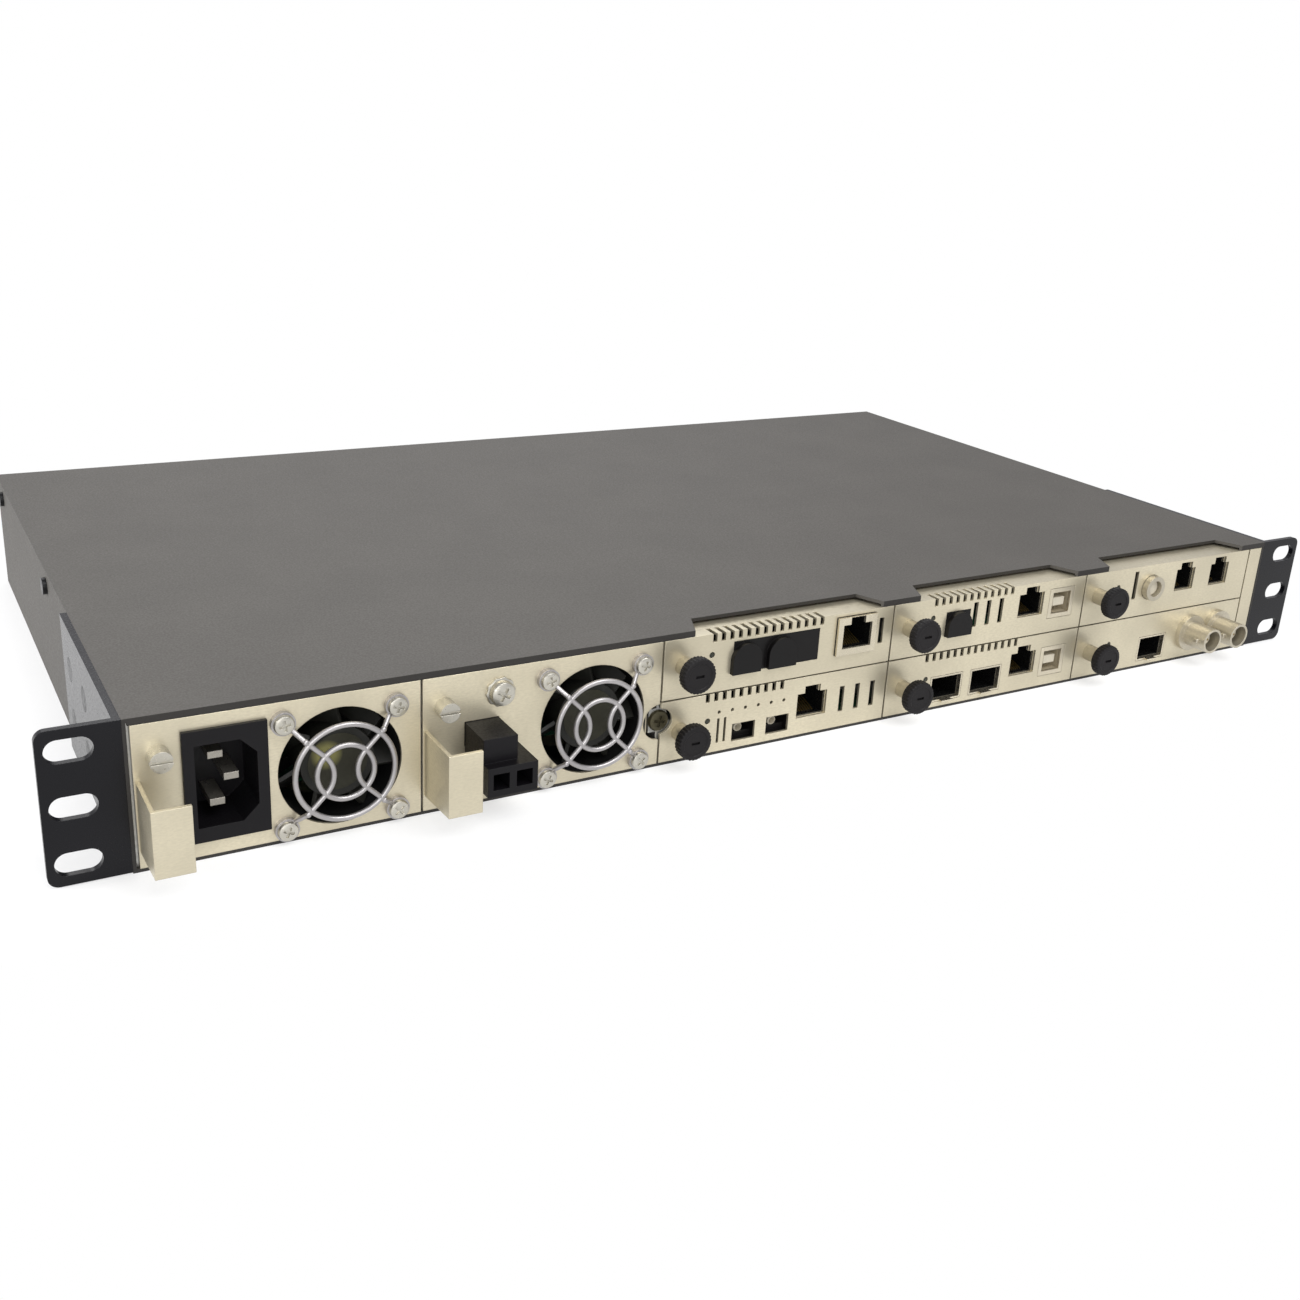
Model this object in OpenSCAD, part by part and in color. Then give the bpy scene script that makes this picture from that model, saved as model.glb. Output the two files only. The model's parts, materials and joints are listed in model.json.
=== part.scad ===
// Rack chassis for plug-in media converter cards, with two slide-in power supplies.
// Millimetres. X runs along the front, +Y goes back from the front plane, +Z is up.
// The origin is the centre of the four corner rack slots, on the ears' front face.

/* [Body] */
// width of the folded tray, without the ears
body_w = 439.2; // [439:0.1:440]
// depth from the front plane to the back of the cover's rear flange
body_d = 258; // [252:1:270]
// height of the closed box
body_h = 44.4; // [44.2:0.1:44.6]
// how far the box's middle lies below the rack slots' middle
body_drop = 0.2; // [0:0.1:0.4]
// sheet of the tray, dividers and card faces
sheet_t = 1.0; // [0.9:0.1:1.1]
// sheet of the top cover
cover_t = 1.2; // [1:0.1:1.3]
// height of the cover's front lip, with the sheet itself
lip_h = 2.0; // [1.8:0.1:2.1]
// length of the cover's side flanges inside the tray
cover_flange_len = 150; // [120:5:155]
// height of the cover's side and rear flanges
cover_flange_h = 9; // [8:0.5:10]
// distance of the side flanges from the cover's rear edge
cover_flange_back = 8; // [6:1:12]

/* [Rack ears] */
// reach of an ear beside the tray
ear_reach = 20.9; // [20.6:0.1:21.2]
// middle of the slots beside the tray
slot_out = 12.95; // [12.8:0.05:13.1]
// distance between the outer slot rows
slot_pitch_z = 31.75; // [31.6:0.05:31.9]
// length of a rack slot, end to end
slot_len = 12; // [10:0.5:13]
// height of a rack slot
slot_h = 6.6; // [6.2:0.1:7]
// height of an ear
ear_h = 44; // [43.6:0.1:44]
// sheet of an ear
ear_t = 2; // [1.6:0.1:2.2]
// length of the arm along the tray's side
ear_arm = 85; // [80:1:90]
// corner radius of an ear's front plate
ear_corner = 3; // [2:0.5:4]
// first ear screw behind the front plane
ear_screw_y = 48.8; // [46:0.2:50]
// distance between the ear screws along the arm
ear_screw_step = 24; // [22:0.5:26]
// height of the ear screws above and below the middle
ear_screw_z = 8.4; // [7:0.2:9]
// thread radius of the ear screws
ear_screw_r = 2; // [1.8:0.1:2.1]
// head radius of the countersunk ear screws
ear_screw_head_r = 3.8; // [3.5:0.1:4]
// length of the ear screws
ear_screw_len = 5; // [4:0.5:6]

/* [Cover screws] */
// head radius of the cover screws
cover_screw_head_r = 2.8; // [2.5:0.1:3]
// head height of the cover screws
cover_screw_head_h = 1.4; // [1.2:0.1:1.6]
// thread radius of the cover screws
cover_screw_r = 1.5; // [1.3:0.1:1.6]
// length of the cover screws
cover_screw_len = 4.5; // [4:0.5:5]
// depth of the cover screws' line below the cover's top
cover_screw_drop = 5.6; // [5:0.2:6]
// distance of the rear screws from the middle
cover_screw_rear_x = 150; // [130:5:170]

/* [Bays] */
// left edge of the first card column
card_left = -60; // [-60.2:0.1:-59.8]
// pitch of the card columns
card_pitch = 90.4; // [90.2:0.1:90.4]
// sheet of the dividers
divider_t = 1.0; // [0.9:0.1:1.1]
// front edge of the dividers behind the faces
divider_y = 1.6; // [1.4:0.1:2]
// how far the dividers reach past the supplies' cases
divider_past = 2; // [1:0.5:3]
// half of the seam between two faces
face_gap = 0.35; // [0.25:0.05:0.5]
// gap between a face and what is above it
face_top_gap = 0.1; // [0.1:0.05:0.3]
// top of the lower row of faces
lower_top = -0.7; // [-0.9:0.1:-0.5]
// bottom of the upper row of faces
upper_bottom = -0.2; // [-0.3:0.1:0]
// clearance of parts that slide past each other
slide_gap = 0.3; // [0.2:0.05:0.4]
// radial clearance of screws and shafts in their bores
run_gap = 0.06; // [0.04:0.01:0.08]

/* [Cover notches] */
// start of a notch's rear edge from the card column's edge
notch_rear_in = 15.4; // [15:0.2:17]
// end of a notch's rear edge
notch_rear_out = 81.1; // [79:0.2:81.4]
// start of a notch at the front
notch_front_in = 11.1; // [10.5:0.2:12]
// end of a notch at the front
notch_front_out = 85.4; // [84:0.2:86]
// depth of a notch
notch_d = 9.9; // [9:0.2:11]

/* [Thumbscrew seats] */
// thumbscrew axis from the card column's edge
knob_x = 7.5; // [7.4:0.1:7.6]
// height of the upper thumbscrews
knob_upper_z = 10.8; // [10.6:0.1:11]
// height of the lower thumbscrews
knob_lower_z = -11.7; // [-11.8:0.1:-11.6]
// radius of a thumbscrew's knurled head
knob_r = 5.9; // [5.6:0.1:6.2]
// length of a thumbscrew's head
knob_len = 3.4; // [3:0.1:4]
// radius of a thumbscrew's neck
knob_collar_r = 3; // [2.6:0.1:3.4]
// length of a thumbscrew's neck
knob_collar_len = 6.8; // [6:0.1:7.2]
// thread radius of the thumbscrews
knob_thread_r = 1.5; // [1.4:0.1:1.6]
// reach of a thumbscrew's shank behind the front plane
knob_shank = 7.6; // [7:0.1:8]
// width of a tapped seat
seat_w = 12.6; // [12.2:0.1:12.8]
// height of a tapped seat
seat_h = 8; // [7.6:0.1:8.2]
// depth of a tapped seat
seat_d = 6; // [5.5:0.1:6.5]
// height of the seam screw's seat
seam_z = -7; // [-7.2:0.1:-6.8]
// half width of the seam screw's seat
seam_seat_half = 3.2; // [3:0.1:3.3]
// radius of the notch in the supply's face round the seam screw
seam_notch_r = 6; // [5.6:0.1:6.2]
// radius of the notch in the card's face round the seam screw
seam_card_notch_r = 4.4; // [4:0.1:4.6]

/* [Card boards] */
// thickness of a card's board
board_t = 1.6; // [1.5:0.05:1.65]
// underside of the upper boards
board_upper_z = 3.6; // [3.4:0.1:3.7]
// underside of the lower boards
board_lower_z = -19.2; // [-19.3:0.1:-19]
// front edge of a board
board_y = 4; // [3.8:0.1:4.4]
// how far the boards reach past the supplies' cases
board_past = 4; // [3.5:0.1:4.4]
// edge of a board inside the divider's middle
board_side = 1.6; // [1.5:0.1:1.8]
// width of a guide rail
rail_w = 4; // [3.8:0.1:4.2]
// height of a guide rail
rail_h = 4.6; // [4.4:0.1:4.8]
// front end of the guide rails
rail_y = 17; // [16:0.5:18]
// length of the guide rails
rail_len = 150; // [140:2:160]
// free height of a guide groove over the board
groove_gap = 0.4; // [0.3:0.05:0.5]
// depth of a face's top flange
flange_d = 14; // [13:0.2:15]
// start of the top flange from the card column's edge
flange_in = 9; // [8.6:0.2:10]
// end of the top flange
flange_out = 87; // [86.4:0.2:87.4]
// depth of the tabs under the board
tab_d = 10; // [9:0.5:12]
// width of the tabs under the board
tab_w = 8; // [7:0.5:9]
// first tab from the card column's edge
tab_in = 11; // [10.5:0.5:12]
// second tab from the card column's edge
tab_out = 66; // [65:0.5:67]

/* [Backplane] */
// gap between the supplies' cases and the backplane
plane_past = 10; // [9.6:0.1:11]
// thickness of the backplane
plane_t = 2; // [1.8:0.1:2.4]
// gap round the backplane
plane_gap = 1.4; // [1:0.1:1.6]
// depth of an edge socket
socket_d = 9; // [8.5:0.1:9.4]
// height of an edge socket
socket_h = 6; // [5.6:0.1:6.2]
// width of an edge socket
socket_w = 58; // [54:1:60]
// depth of an edge socket's slot
socket_slot_d = 5; // [4.6:0.1:5.2]
// height of the air window behind a supply
window_h = 24; // [20:1:26]
// width of the air window behind a supply
window_w = 44; // [40:1:50]
// width of a backplane lug
lug_w = 10; // [8:0.5:12]

/* [Rear vents] */
// width of a vent slot
vent_w = 3; // [2.6:0.1:3.4]
// height of a vent slot
vent_h = 24; // [20:1:26]
// pitch of the vent slots
vent_pitch = 7; // [6.5:0.1:7.4]
// slots in each group
vent_count = 9; // [7:1:9]
// middles of the vent groups, as shares of the tray's width
vent_shares = [-0.364, -0.171, 0.137, 0.342];

/* [Power supplies] */
// left side of the case from the bay's edge
case_in = 12; // [11.6:0.1:12.2]
// right side of the case from the bay's edge
case_out = 75.4; // [75.2:0.1:75.5]
// sheet of the case
case_t = 0.8; // [0.7:0.05:0.85]
// depth of the case
case_d = 196; // [192:1:197]
// gap between the case and the sheet above it
case_top_gap = 0.8; // [0.6:0.1:1]
// handle: reach in front of the face
handle_reach = 18.7; // [17:0.1:20]
// handle: lower edge
handle_z0 = -15; // [-16:0.5:-14]
// handle: upper edge
handle_z1 = 4; // [3:0.5:5]
// handle: sheet
handle_t = 1.2; // [1:0.1:1.4]
// handle: width of the finger flange
handle_w = 10.2; // [9:0.2:11]
// handle: outer face from the bay's edge
handle_in = 0.7; // [0.6:0.1:0.9]
// handle: drop of the outer end below the root
handle_slope = 1.4; // [0.6:0.2:2]
// captive screw: axis from the bay's edge
captive_x = 6.8; // [6.6:0.1:7]
// captive screw: height
captive_z = 10.5; // [10.3:0.1:10.7]
// captive screw: head radius
captive_r = 3; // [2.8:0.1:3.2]
// captive screw: head length
captive_len = 5; // [4.5:0.1:5.5]
// captive screw: driver slot
captive_slot = 0.9; // [0.8:0.1:1.1]

/* [Fans] */
// fan axis from the bay's edge
fan_x = 55.3; // [55.2:0.1:55.4]
// height of the fan axis
fan_z = -2; // [-2.1:0.1:-1.9]
// side of the fan frame
fan_side = 38; // [37.6:0.1:38.2]
// depth of the fan frame
fan_d = 20; // [19:0.5:22]
// radius of the fan's opening
fan_r = 17.7; // [17.5:0.1:17.8]
// half distance between the fan screws
fan_screw_half = 16; // [15.9:0.05:16.1]
// radius of the fan's screw holes
fan_hole_r = 1.5; // [1.3:0.1:1.6]
// gap between the blade tips and the frame
tip_gap = 0.8; // [0.6:0.1:1]
// radius of the rotor's hub
hub_r = 10.6; // [10:0.1:11]
// front of the rotor behind the frame's front
hub_in = 2; // [1.6:0.1:2.5]
// depth of the rotor
hub_d = 13; // [12:0.2:14]
// thickness of a blade
blade_t = 1.2; // [1:0.1:1.4]
// pitch angle of the blades
blade_tilt = 38; // [32:1:42]
// number of blades
blade_count = 7; // [5:1:7]
// radius of the fan's shaft
shaft_r = 1.5; // [1.3:0.1:1.7]
// radius of the motor's plate
motor_r = 9; // [8.5:0.1:9.5]
// thickness of the motor's plate and arms
motor_t = 2; // [1.8:0.1:2.4]
// width of the motor's arms
motor_arm_w = 3; // [2.6:0.1:3.4]
// radius of the guard's wire
wire_r = 0.8; // [0.7:0.05:0.9]
// radius of the guard's outer ring
guard_outer_r = 14.15; // [13.9:0.05:14.4]
// radius of the guard's inner ring
guard_inner_r = 8.1; // [7.8:0.1:8.4]
// how far the middle of the guard's wires stands in front of the face
guard_front = 4.2; // [3.8:0.1:4.6]
// bend radius of the guard's two bowed wires
guard_bow_r = 8; // [7.6:0.1:8.4]
// distance from the fan axis to the middle of a bowed wire
guard_bow_in = 3.4; // [3.2:0.1:3.6]
// radius of the bowed wires' straight legs
guard_leg_r = 0.74; // [0.66:0.02:0.76]
// radius of the knee in a bowed wire's leg
guard_knee_r = 0.9; // [0.86:0.02:1]
// length of a bowed wire's end that slants back to its screw loop
guard_slant = 4.6; // [4.2:0.1:5]
// radius of the guard's screw loops, to the middle of the wire
guard_loop_r = 2.6; // [2.5:0.1:2.8]

/* [Mains inlet] */
// left side of the inlet from the bay's edge
inlet_in = 12.6; // [12.4:0.1:12.8]
// width of the inlet
inlet_w = 22.5; // [22:0.1:22.6]
// bottom of the inlet
inlet_z0 = -16.8; // [-17:0.1:-16.4]
// top of the inlet
inlet_z1 = 16; // [15.8:0.1:16.2]
// flange of the inlet in front of the face
inlet_proud = 1.2; // [1:0.1:1.6]
// depth of the inlet behind the face
inlet_d = 21; // [20:0.5:23]
// step between the flange and the inlet's body
inlet_step = 1.3; // [1.2:0.1:1.6]
// width of the inlet's recess
recess_w = 16.4; // [16:0.1:16.8]
// height of the inlet's recess
recess_h = 24.2; // [23.8:0.1:24.6]
// depth of the inlet's recess
recess_d = 16; // [15:0.5:17]
// cut corners of the recess
recess_cut = 4.4; // [4:0.1:5]
// distance between the outer pins
pin_pitch = 14; // [13.8:0.1:14.2]
// how far the middle pin is offset
pin_offset = 4; // [3.8:0.1:4.2]
// thickness of a pin
pin_t = 2; // [1.8:0.1:2.1]
// width of a pin
pin_w = 4; // [3.8:0.1:4.2]
// pin tips behind the flange's front
pin_in = 4; // [3:0.2:5]
// pin tails behind the inlet
pin_tail = 6; // [5:0.5:7]

/* [Direct current terminals] */
// left side of the terminal block from the bay's edge
term_in = 13.2; // [13:0.1:13.4]
// width of the fixed header
term_w = 10.6; // [10:0.1:11]
// width of the plug part
term_plug_w = 15.5; // [15:0.1:16]
// top of the header
term_z1 = 4.5; // [4.2:0.1:4.8]
// level between the header and the plug part
term_mid_z = -3; // [-3.2:0.1:-2.8]
// bottom of the plug part
term_z0 = -12; // [-12.4:0.1:-11.6]
// reach of the header in front of the face
term_reach = 13.5; // [12.5:0.1:14.5]
// reach of the plug part
term_plug_reach = 17; // [16:0.1:18]
// depth of the block behind the face
term_d = 9; // [8:0.5:10]
// wire mouth width
term_mouth_w = 5; // [4.6:0.1:5.4]
// wire mouth height
term_mouth_h = 5; // [4.6:0.1:5.4]
// wire mouth depth
term_mouth_d = 9; // [8:0.5:10]
// pitch of the two wire mouths
term_pitch = 7.2; // [7:0.1:7.4]

/* [Supply boards] */
// underside of a supply's board
psu_board_z = -18; // [-18.2:0.1:-17.8]
// front edge of a supply's board
psu_board_y = 26; // [25:0.5:28]
// gap between the board and the case's sides
psu_board_side = 2; // [1.8:0.1:2.4]
// width of the board's rear tongue
tongue_w = 40; // [36:1:44]
// side of a board post
post_w = 5; // [4:0.5:6]
// transformer size
core_size = [30, 34, 24];
// transformer's front edge
core_y = 90; // [86:1:94]
// capacitor radius
cap_r = 9; // [8.5:0.1:9.5]
// capacitor height
cap_h = 26; // [24:0.5:28]
// capacitor axis behind the board's front edge
cap_y = 16; // [14:0.5:18]
// heat sink size
sink_size = [4, 70, 22];

/* [Data jacks] */
// width of a jack's shell
jack_w = 16; // [15.6:0.1:16.2]
// height of a jack's shell
jack_h = 13.4; // [13.2:0.1:13.6]
// depth of a jack's shell
jack_d = 18; // [17:0.5:20]
// width of a jack's mouth
mouth_w = 11.8; // [11.6:0.1:12]
// height of a jack's mouth
mouth_h = 8.4; // [8.2:0.1:8.6]
// depth of a jack's mouth
mouth_d = 14; // [13:0.5:15]
// width of the latch notch
latch_w = 6; // [5.6:0.1:6.4]
// height of the latch notch
latch_h = 2.5; // [2.3:0.1:2.6]
// mouth's lower edge over the board
mouth_lift = 2.4; // [2.2:0.1:2.5]
// width of a telephone jack's mouth
phone_w = 10; // [9.8:0.1:10.2]
// how far a raised jack stands in front of the face
jack_proud = 1.2; // [1:0.1:1.5]

/* [Other ports] */
// width of a serial bus port
bus_w = 12; // [11.8:0.1:12.2]
// height of a serial bus port
bus_h = 11.3; // [11.1:0.1:11.5]
// depth of a serial bus port
bus_d = 16; // [15:0.5:17]
// wall of a serial bus port
bus_wall = 1.6; // [1.4:0.1:1.7]
// depth of a serial bus port's mouth
bus_mouth_d = 6; // [5:0.5:7]
// width of a pluggable cage's opening
cage_w = 13.4; // [13.2:0.1:13.6]
// height of a pluggable cage's opening
cage_h = 8.5; // [8.3:0.1:8.7]
// depth of a pluggable cage
cage_d = 48; // [46:1:50]
// wall of a pluggable cage
cage_wall = 0.6; // [0.5:0.05:0.65]
// how far a cage's floor lies below the top of its board
cage_sink = 1.9; // [1.7:0.1:2]
// width of the latch tongue under a cage's mouth
cage_tongue_w = 5; // [4.6:0.1:5.4]
// reach of the latch tongue in front of the face
cage_tongue_d = 1.6; // [1.4:0.1:1.8]
// width of a fibre port's opening
sc_w = 9; // [8.8:0.1:9.2]
// height of a fibre port's opening
sc_h = 6.2; // [6:0.1:6.4]
// how far a fibre port's mouth reaches below the top of its board
sc_sink = 1.4; // [1.2:0.1:1.5]
// depth of a fibre port
sc_d = 20; // [18:0.5:22]
// depth of a fibre port's mouth
sc_mouth_d = 11; // [10:0.5:12]
// wall of a fibre port
sc_wall = 0.9; // [0.8:0.1:1]
// width of a fibre hood
hood_w = 10.8; // [10.6:0.1:11]
// height of a fibre hood
hood_h = 8.8; // [8.6:0.1:9]
// how far a fibre hood stands in front of the face
hood_proud = 1.8; // [1.6:0.1:2.2]
// radius of a coaxial barrel
coax_r = 7.2; // [7:0.1:7.3]
// radius of a coaxial barrel's lip
coax_lip_r = 4.9; // [4.8:0.1:5]
// how far a coaxial barrel stands in front of the face
coax_proud = 12; // [11:0.1:12.6]
// how far a coaxial barrel's flange stands in front of the face
coax_flange = 2; // [1.8:0.1:2.2]
// inner radius of a coaxial barrel
coax_in_r = 4; // [3.9:0.1:4.1]
// side of a coaxial body behind the face
coax_body = 13; // [12.6:0.1:13.2]
// depth of a coaxial body behind the face
coax_d = 14; // [13:0.5:15]
// radius of the round metal connector
ring_r = 4.8; // [4.6:0.1:5]
// inner radius of the round metal connector
ring_in_r = 3.1; // [3:0.1:3.3]
// how far the round metal connector stands in front of the face
ring_proud = 2.5; // [2.2:0.1:3]
// depth of the round metal connector behind the face
ring_d = 12; // [11:0.5:13]
// clearance of a port in its cut-out
port_gap = 0.15; // [0.1:0.05:0.2]
// radius of a status lamp's hole
lamp_r = 1; // [0.9:0.05:1.1]
// lamp hole from the card column's edge
lamp_x = 17.9; // [17.7:0.1:18.1]
// height of the upper lamp holes
lamp_upper_z = 12.8; // [12.6:0.1:13]
// height of the lower lamp holes
lamp_lower_z = -10.1; // [-10.3:0.1:-9.9]
// width of a plain vent slit in a face
slit_w = 2; // [1.8:0.1:2.2]
// length of a plain vent slit
slit_len = 9.2; // [9:0.1:9.4]
// how far a slit starts below the jacks' mouths
slit_low = 0.6; // [0.5:0.1:0.8]
// width of a comb slot in a face's top edge
comb_w = 1.5; // [1.3:0.1:1.7]
// pitch of the comb slots
comb_pitch = 3.2; // [3.1:0.05:3.3]
// height of the comb slots down the face
comb_h = 2.8; // [2.4:0.1:3]
// depth of the comb slots along the flange
comb_d = 5; // [4.5:0.1:5.5]

/* [Port places] */
// first upper card: jack
one_jack_x = 14.5; // [14.3:0.1:14.7]
// first upper card: fibre body's middle
one_fibre_x = -17.2; // [-17.4:0.1:-17]
// first upper card: fibre body's width
one_fibre_w = 33.4; // [33:0.1:33.8]
// first upper card: fibre body's height
one_fibre_h = 10.8; // [10.6:0.1:11]
// first upper card: middle of the two fibre hoods
one_hood_x = -22.6; // [-22.8:0.1:-22.4]
// first upper card: pitch of the two fibre hoods
one_hood_pitch = 13.8; // [13.6:0.1:14]
// first upper card: height of the fibre hoods
one_hood_h = 10.2; // [10:0.1:10.4]
// first upper card: end of the comb
one_comb_end = 62; // [61:0.2:64]
// first upper card: slit
one_slit_x = 25.5; // [25.4:0.1:25.6]
// second upper card: jack
two_jack_x = 94.3; // [94.2:0.1:94.4]
// second upper card: fibre hood
two_fibre_x = 59.8; // [59.6:0.1:60]
// second upper card: end of the comb
two_comb_end = 56; // [54:0.2:57]
// second upper card: serial bus port
two_bus_x = 109.3; // [109.2:0.1:109.4]
// second upper card: first slit
two_slit_x = 67.6; // [67.4:0.1:67.8]
// second upper card: slit pitch
two_slit_pitch = 6; // [5.8:0.1:6.1]
// third upper card: first jack
three_jack_x = 175.3; // [175.1:0.1:175.5]
// third upper card: jack pitch
three_jack_pitch = 19.4; // [19.2:0.1:19.6]
// third upper card: round connector
three_ring_x = 156.6; // [156.4:0.1:156.8]
// third upper card: slit
three_slit_x = 147.8; // [147.6:0.1:148]
// third upper card: length of the slit
three_slit_len = 11; // [10.6:0.1:11.2]
// first lower card: jack
four_jack_x = -0.9; // [-1.1:0.1:-0.7]
// first lower card: fibre pair's middle
four_fibre_x = -21.2; // [-21.4:0.1:-21]
// first lower card: pitch of the fibre pair
four_fibre_pitch = 13.4; // [13.2:0.1:13.6]
// first lower card: first slit
four_slit_x = 11.5; // [11.4:0.1:11.7]
// first lower card: slit pitch
four_slit_pitch = 6.5; // [6.3:0.1:6.7]
// combs of the lower cards: first slot from the card column's edge
four_comb_in = 16.7; // [16.6:0.1:17]
// first lower card: end of the comb
four_comb_end = 48.6; // [47:0.2:49]
// first lower card: first lamp dot from the card column's edge
four_dot_in = 22.2; // [22:0.1:22.6]
// first lower card: pitch of the lamp dots
four_dot_pitch = 5.06; // [5:0.02:5.1]
// first lower card: number of lamp dots
four_dot_count = 6; // [4:1:6]
// first lower card: height of the lamp dots
four_dot_z = -7.6; // [-7.8:0.1:-7.2]
// first lower card: radius of a lamp dot
four_dot_r = 0.6; // [0.5:0.05:0.65]
// first lower card: first thin slit from the card column's edge
four_thin_in = 22.1; // [22:0.1:22.4]
// first lower card: pitch of the thin slits
four_thin_pitch = 2.6; // [2.5:0.1:2.7]
// first lower card: width of a thin slit
four_thin_w = 0.9; // [0.8:0.1:1]
// first lower card: lower end of the thin slits
four_thin_z0 = -18.4; // [-18.6:0.1:-18]
// first lower card: upper end of the thin slits
four_thin_z1 = -9.8; // [-10.2:0.1:-9.6]
// second lower card: jack
five_jack_x = 94.3; // [94.2:0.1:94.4]
// second lower card: end of the comb
five_comb_end = 60.2; // [59:0.2:61]
// second lower card: first cage
five_cage_x = 58.2; // [58:0.1:58.4]
// second lower card: cage pitch
five_cage_pitch = 18.5; // [18.3:0.1:18.7]
// second lower card: serial bus port
five_bus_x = 109.1; // [109:0.1:109.2]
// third lower card: cage
six_cage_x = 162.8; // [162.6:0.1:163]
// third lower card: first coaxial barrel
six_coax_x = 183.2; // [183:0.1:183.4]
// third lower card: pitch of the coaxial barrels
six_coax_pitch = 15.3; // [15.1:0.1:15.6]

/* [Hidden] */
$fn = 32;
over = 1;
half_w = body_w / 2;
top_z = body_h / 2 - body_drop;
floor_z = -body_h / 2 - body_drop;
deck_z = floor_z + sheet_t;
roof_z = top_z - cover_t;
lip_z = top_z - lip_h;
wall_in = half_w - sheet_t;
rear_out = body_d - sheet_t;
rear_in = rear_out - sheet_t;
face_top = lip_z - face_top_gap;
face_bottom = deck_z;
card_x = [card_left, card_left + card_pitch, card_left + 2 * card_pitch];
end_x = card_left + 3 * card_pitch;
psu_pitch = (wall_in - divider_t / 2 + card_left) / 2;
psu_x = [card_left - 2 * psu_pitch, card_left - psu_pitch];
divider_end = divider_y + case_d + divider_past;
board_end = case_d + board_past;
plane_y = case_d + plane_past;
flange_y1 = body_d - cover_flange_back;
flange_y0 = flange_y1 - cover_flange_len;
vent_groups = vent_shares * body_w;
slot_rows = [-slot_pitch_z / 2, 0, slot_pitch_z / 2];
screw_side_y = [body_d / 2, body_d - cover_flange_back - cover_flange_h];
slit_z_upper = board_upper_z + board_t + mouth_lift - slit_low;
slit_z_lower = board_lower_z + board_t + mouth_lift - slit_low;
dark = [0.14, 0.14, 0.15];
warm_grey = [0.36, 0.34, 0.32];
champagne = [0.84, 0.80, 0.70];
silver = [0.72, 0.72, 0.74];
green = [0.10, 0.30, 0.20];

// A box between two corners.
module block(lo, hi) {
    translate(lo) cube(hi - lo);
}

// A round bar along Y.
module rod(x, z, y0, y1, r) {
    translate([x, y0, z]) rotate([-90, 0, 0]) cylinder(h = y1 - y0, r = r);
}

// A round bar along X.
module cross_rod(x0, x1, y, z, r) {
    translate([x0, y, z]) rotate([0, 90, 0]) cylinder(h = x1 - x0, r = r);
}

// Chassis pieces.
module side_walls() {
    for (s = [-1, 1])
        block([s > 0 ? wall_in : -half_w, 0, floor_z],
              [s > 0 ? half_w : -wall_in, rear_out, roof_z]);
}

module ear_screw_places() {
    for (y = [ear_screw_y, ear_screw_y + ear_screw_step])
        for (z = [-ear_screw_z, ear_screw_z])
            translate([0, y, z]) children();
}

module tray() {
    color(warm_grey) difference() {
        union() {
            block([-half_w, 0, floor_z], [half_w, rear_out, deck_z]);
            side_walls();
            block([-half_w, rear_in, floor_z], [half_w, rear_out, roof_z]);
            // lugs that carry the backplane
            for (x = card_x)
                block([x - lug_w / 2, plane_y + plane_t, floor_z],
                      [x + lug_w / 2, plane_y + plane_t + sheet_t, roof_z - slide_gap]);
            for (x = [psu_x[1], end_x - lug_w])
                block([x - lug_w / 2, plane_y + plane_t, floor_z],
                      [x + lug_w / 2, plane_y + plane_t + sheet_t, roof_z - slide_gap]);
        }
        for (s = [-1, 1])
            ear_screw_places()
                translate([s * half_w, 0, 0]) rotate([0, 90, 0])
                    cylinder(h = 4 * sheet_t, r = ear_screw_r + run_gap, center = true);
        for (s = [-1, 1], y = screw_side_y)
            translate([s * half_w, y, top_z - cover_screw_drop]) rotate([0, 90, 0])
                cylinder(h = 4 * sheet_t, r = cover_screw_r + run_gap, center = true);
        for (x = [-cover_screw_rear_x, 0, cover_screw_rear_x])
            rod(x, top_z - cover_screw_drop, rear_in - over, rear_out + over, cover_screw_r + run_gap);
        for (x = vent_groups, i = [0 : vent_count - 1])
            translate([x + (i - (vent_count - 1) / 2) * vent_pitch, rear_in, floor_z + body_h / 2])
                cube([vent_w, 4 * sheet_t, vent_h], center = true);
    }
}

module notch(x) {
    translate([x, 0, lip_z - over])
        linear_extrude(height = lip_h + 2 * over)
            polygon([[notch_front_in, -over], [notch_front_in, 0], [notch_rear_in, notch_d],
                     [notch_rear_out, notch_d], [notch_front_out, 0], [notch_front_out, -over]]);
}

module top_cover() {
    color(warm_grey) difference() {
        union() {
            block([-half_w, 0, roof_z], [half_w, body_d, top_z]);
            block([-wall_in + slide_gap, 0, lip_z], [wall_in - slide_gap, sheet_t, top_z]);
            for (s = [-1, 1])
                translate([s * (wall_in - sheet_t / 2), (flange_y0 + flange_y1) / 2,
                           top_z - cover_flange_h / 2])
                    cube([sheet_t, cover_flange_len, cover_flange_h], center = true);
            block([-half_w, rear_out, top_z - cover_flange_h], [half_w, body_d, top_z]);
        }
        for (x = card_x)
            notch(x);
        for (s = [-1, 1], y = screw_side_y)
            translate([s * wall_in, y, top_z - cover_screw_drop]) rotate([0, 90, 0])
                cylinder(h = 4 * sheet_t, r = cover_screw_r + run_gap, center = true);
        for (x = [-cover_screw_rear_x, 0, cover_screw_rear_x])
            rod(x, top_z - cover_screw_drop, rear_out - over, body_d + over, cover_screw_r + run_gap);
    }
}

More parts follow.
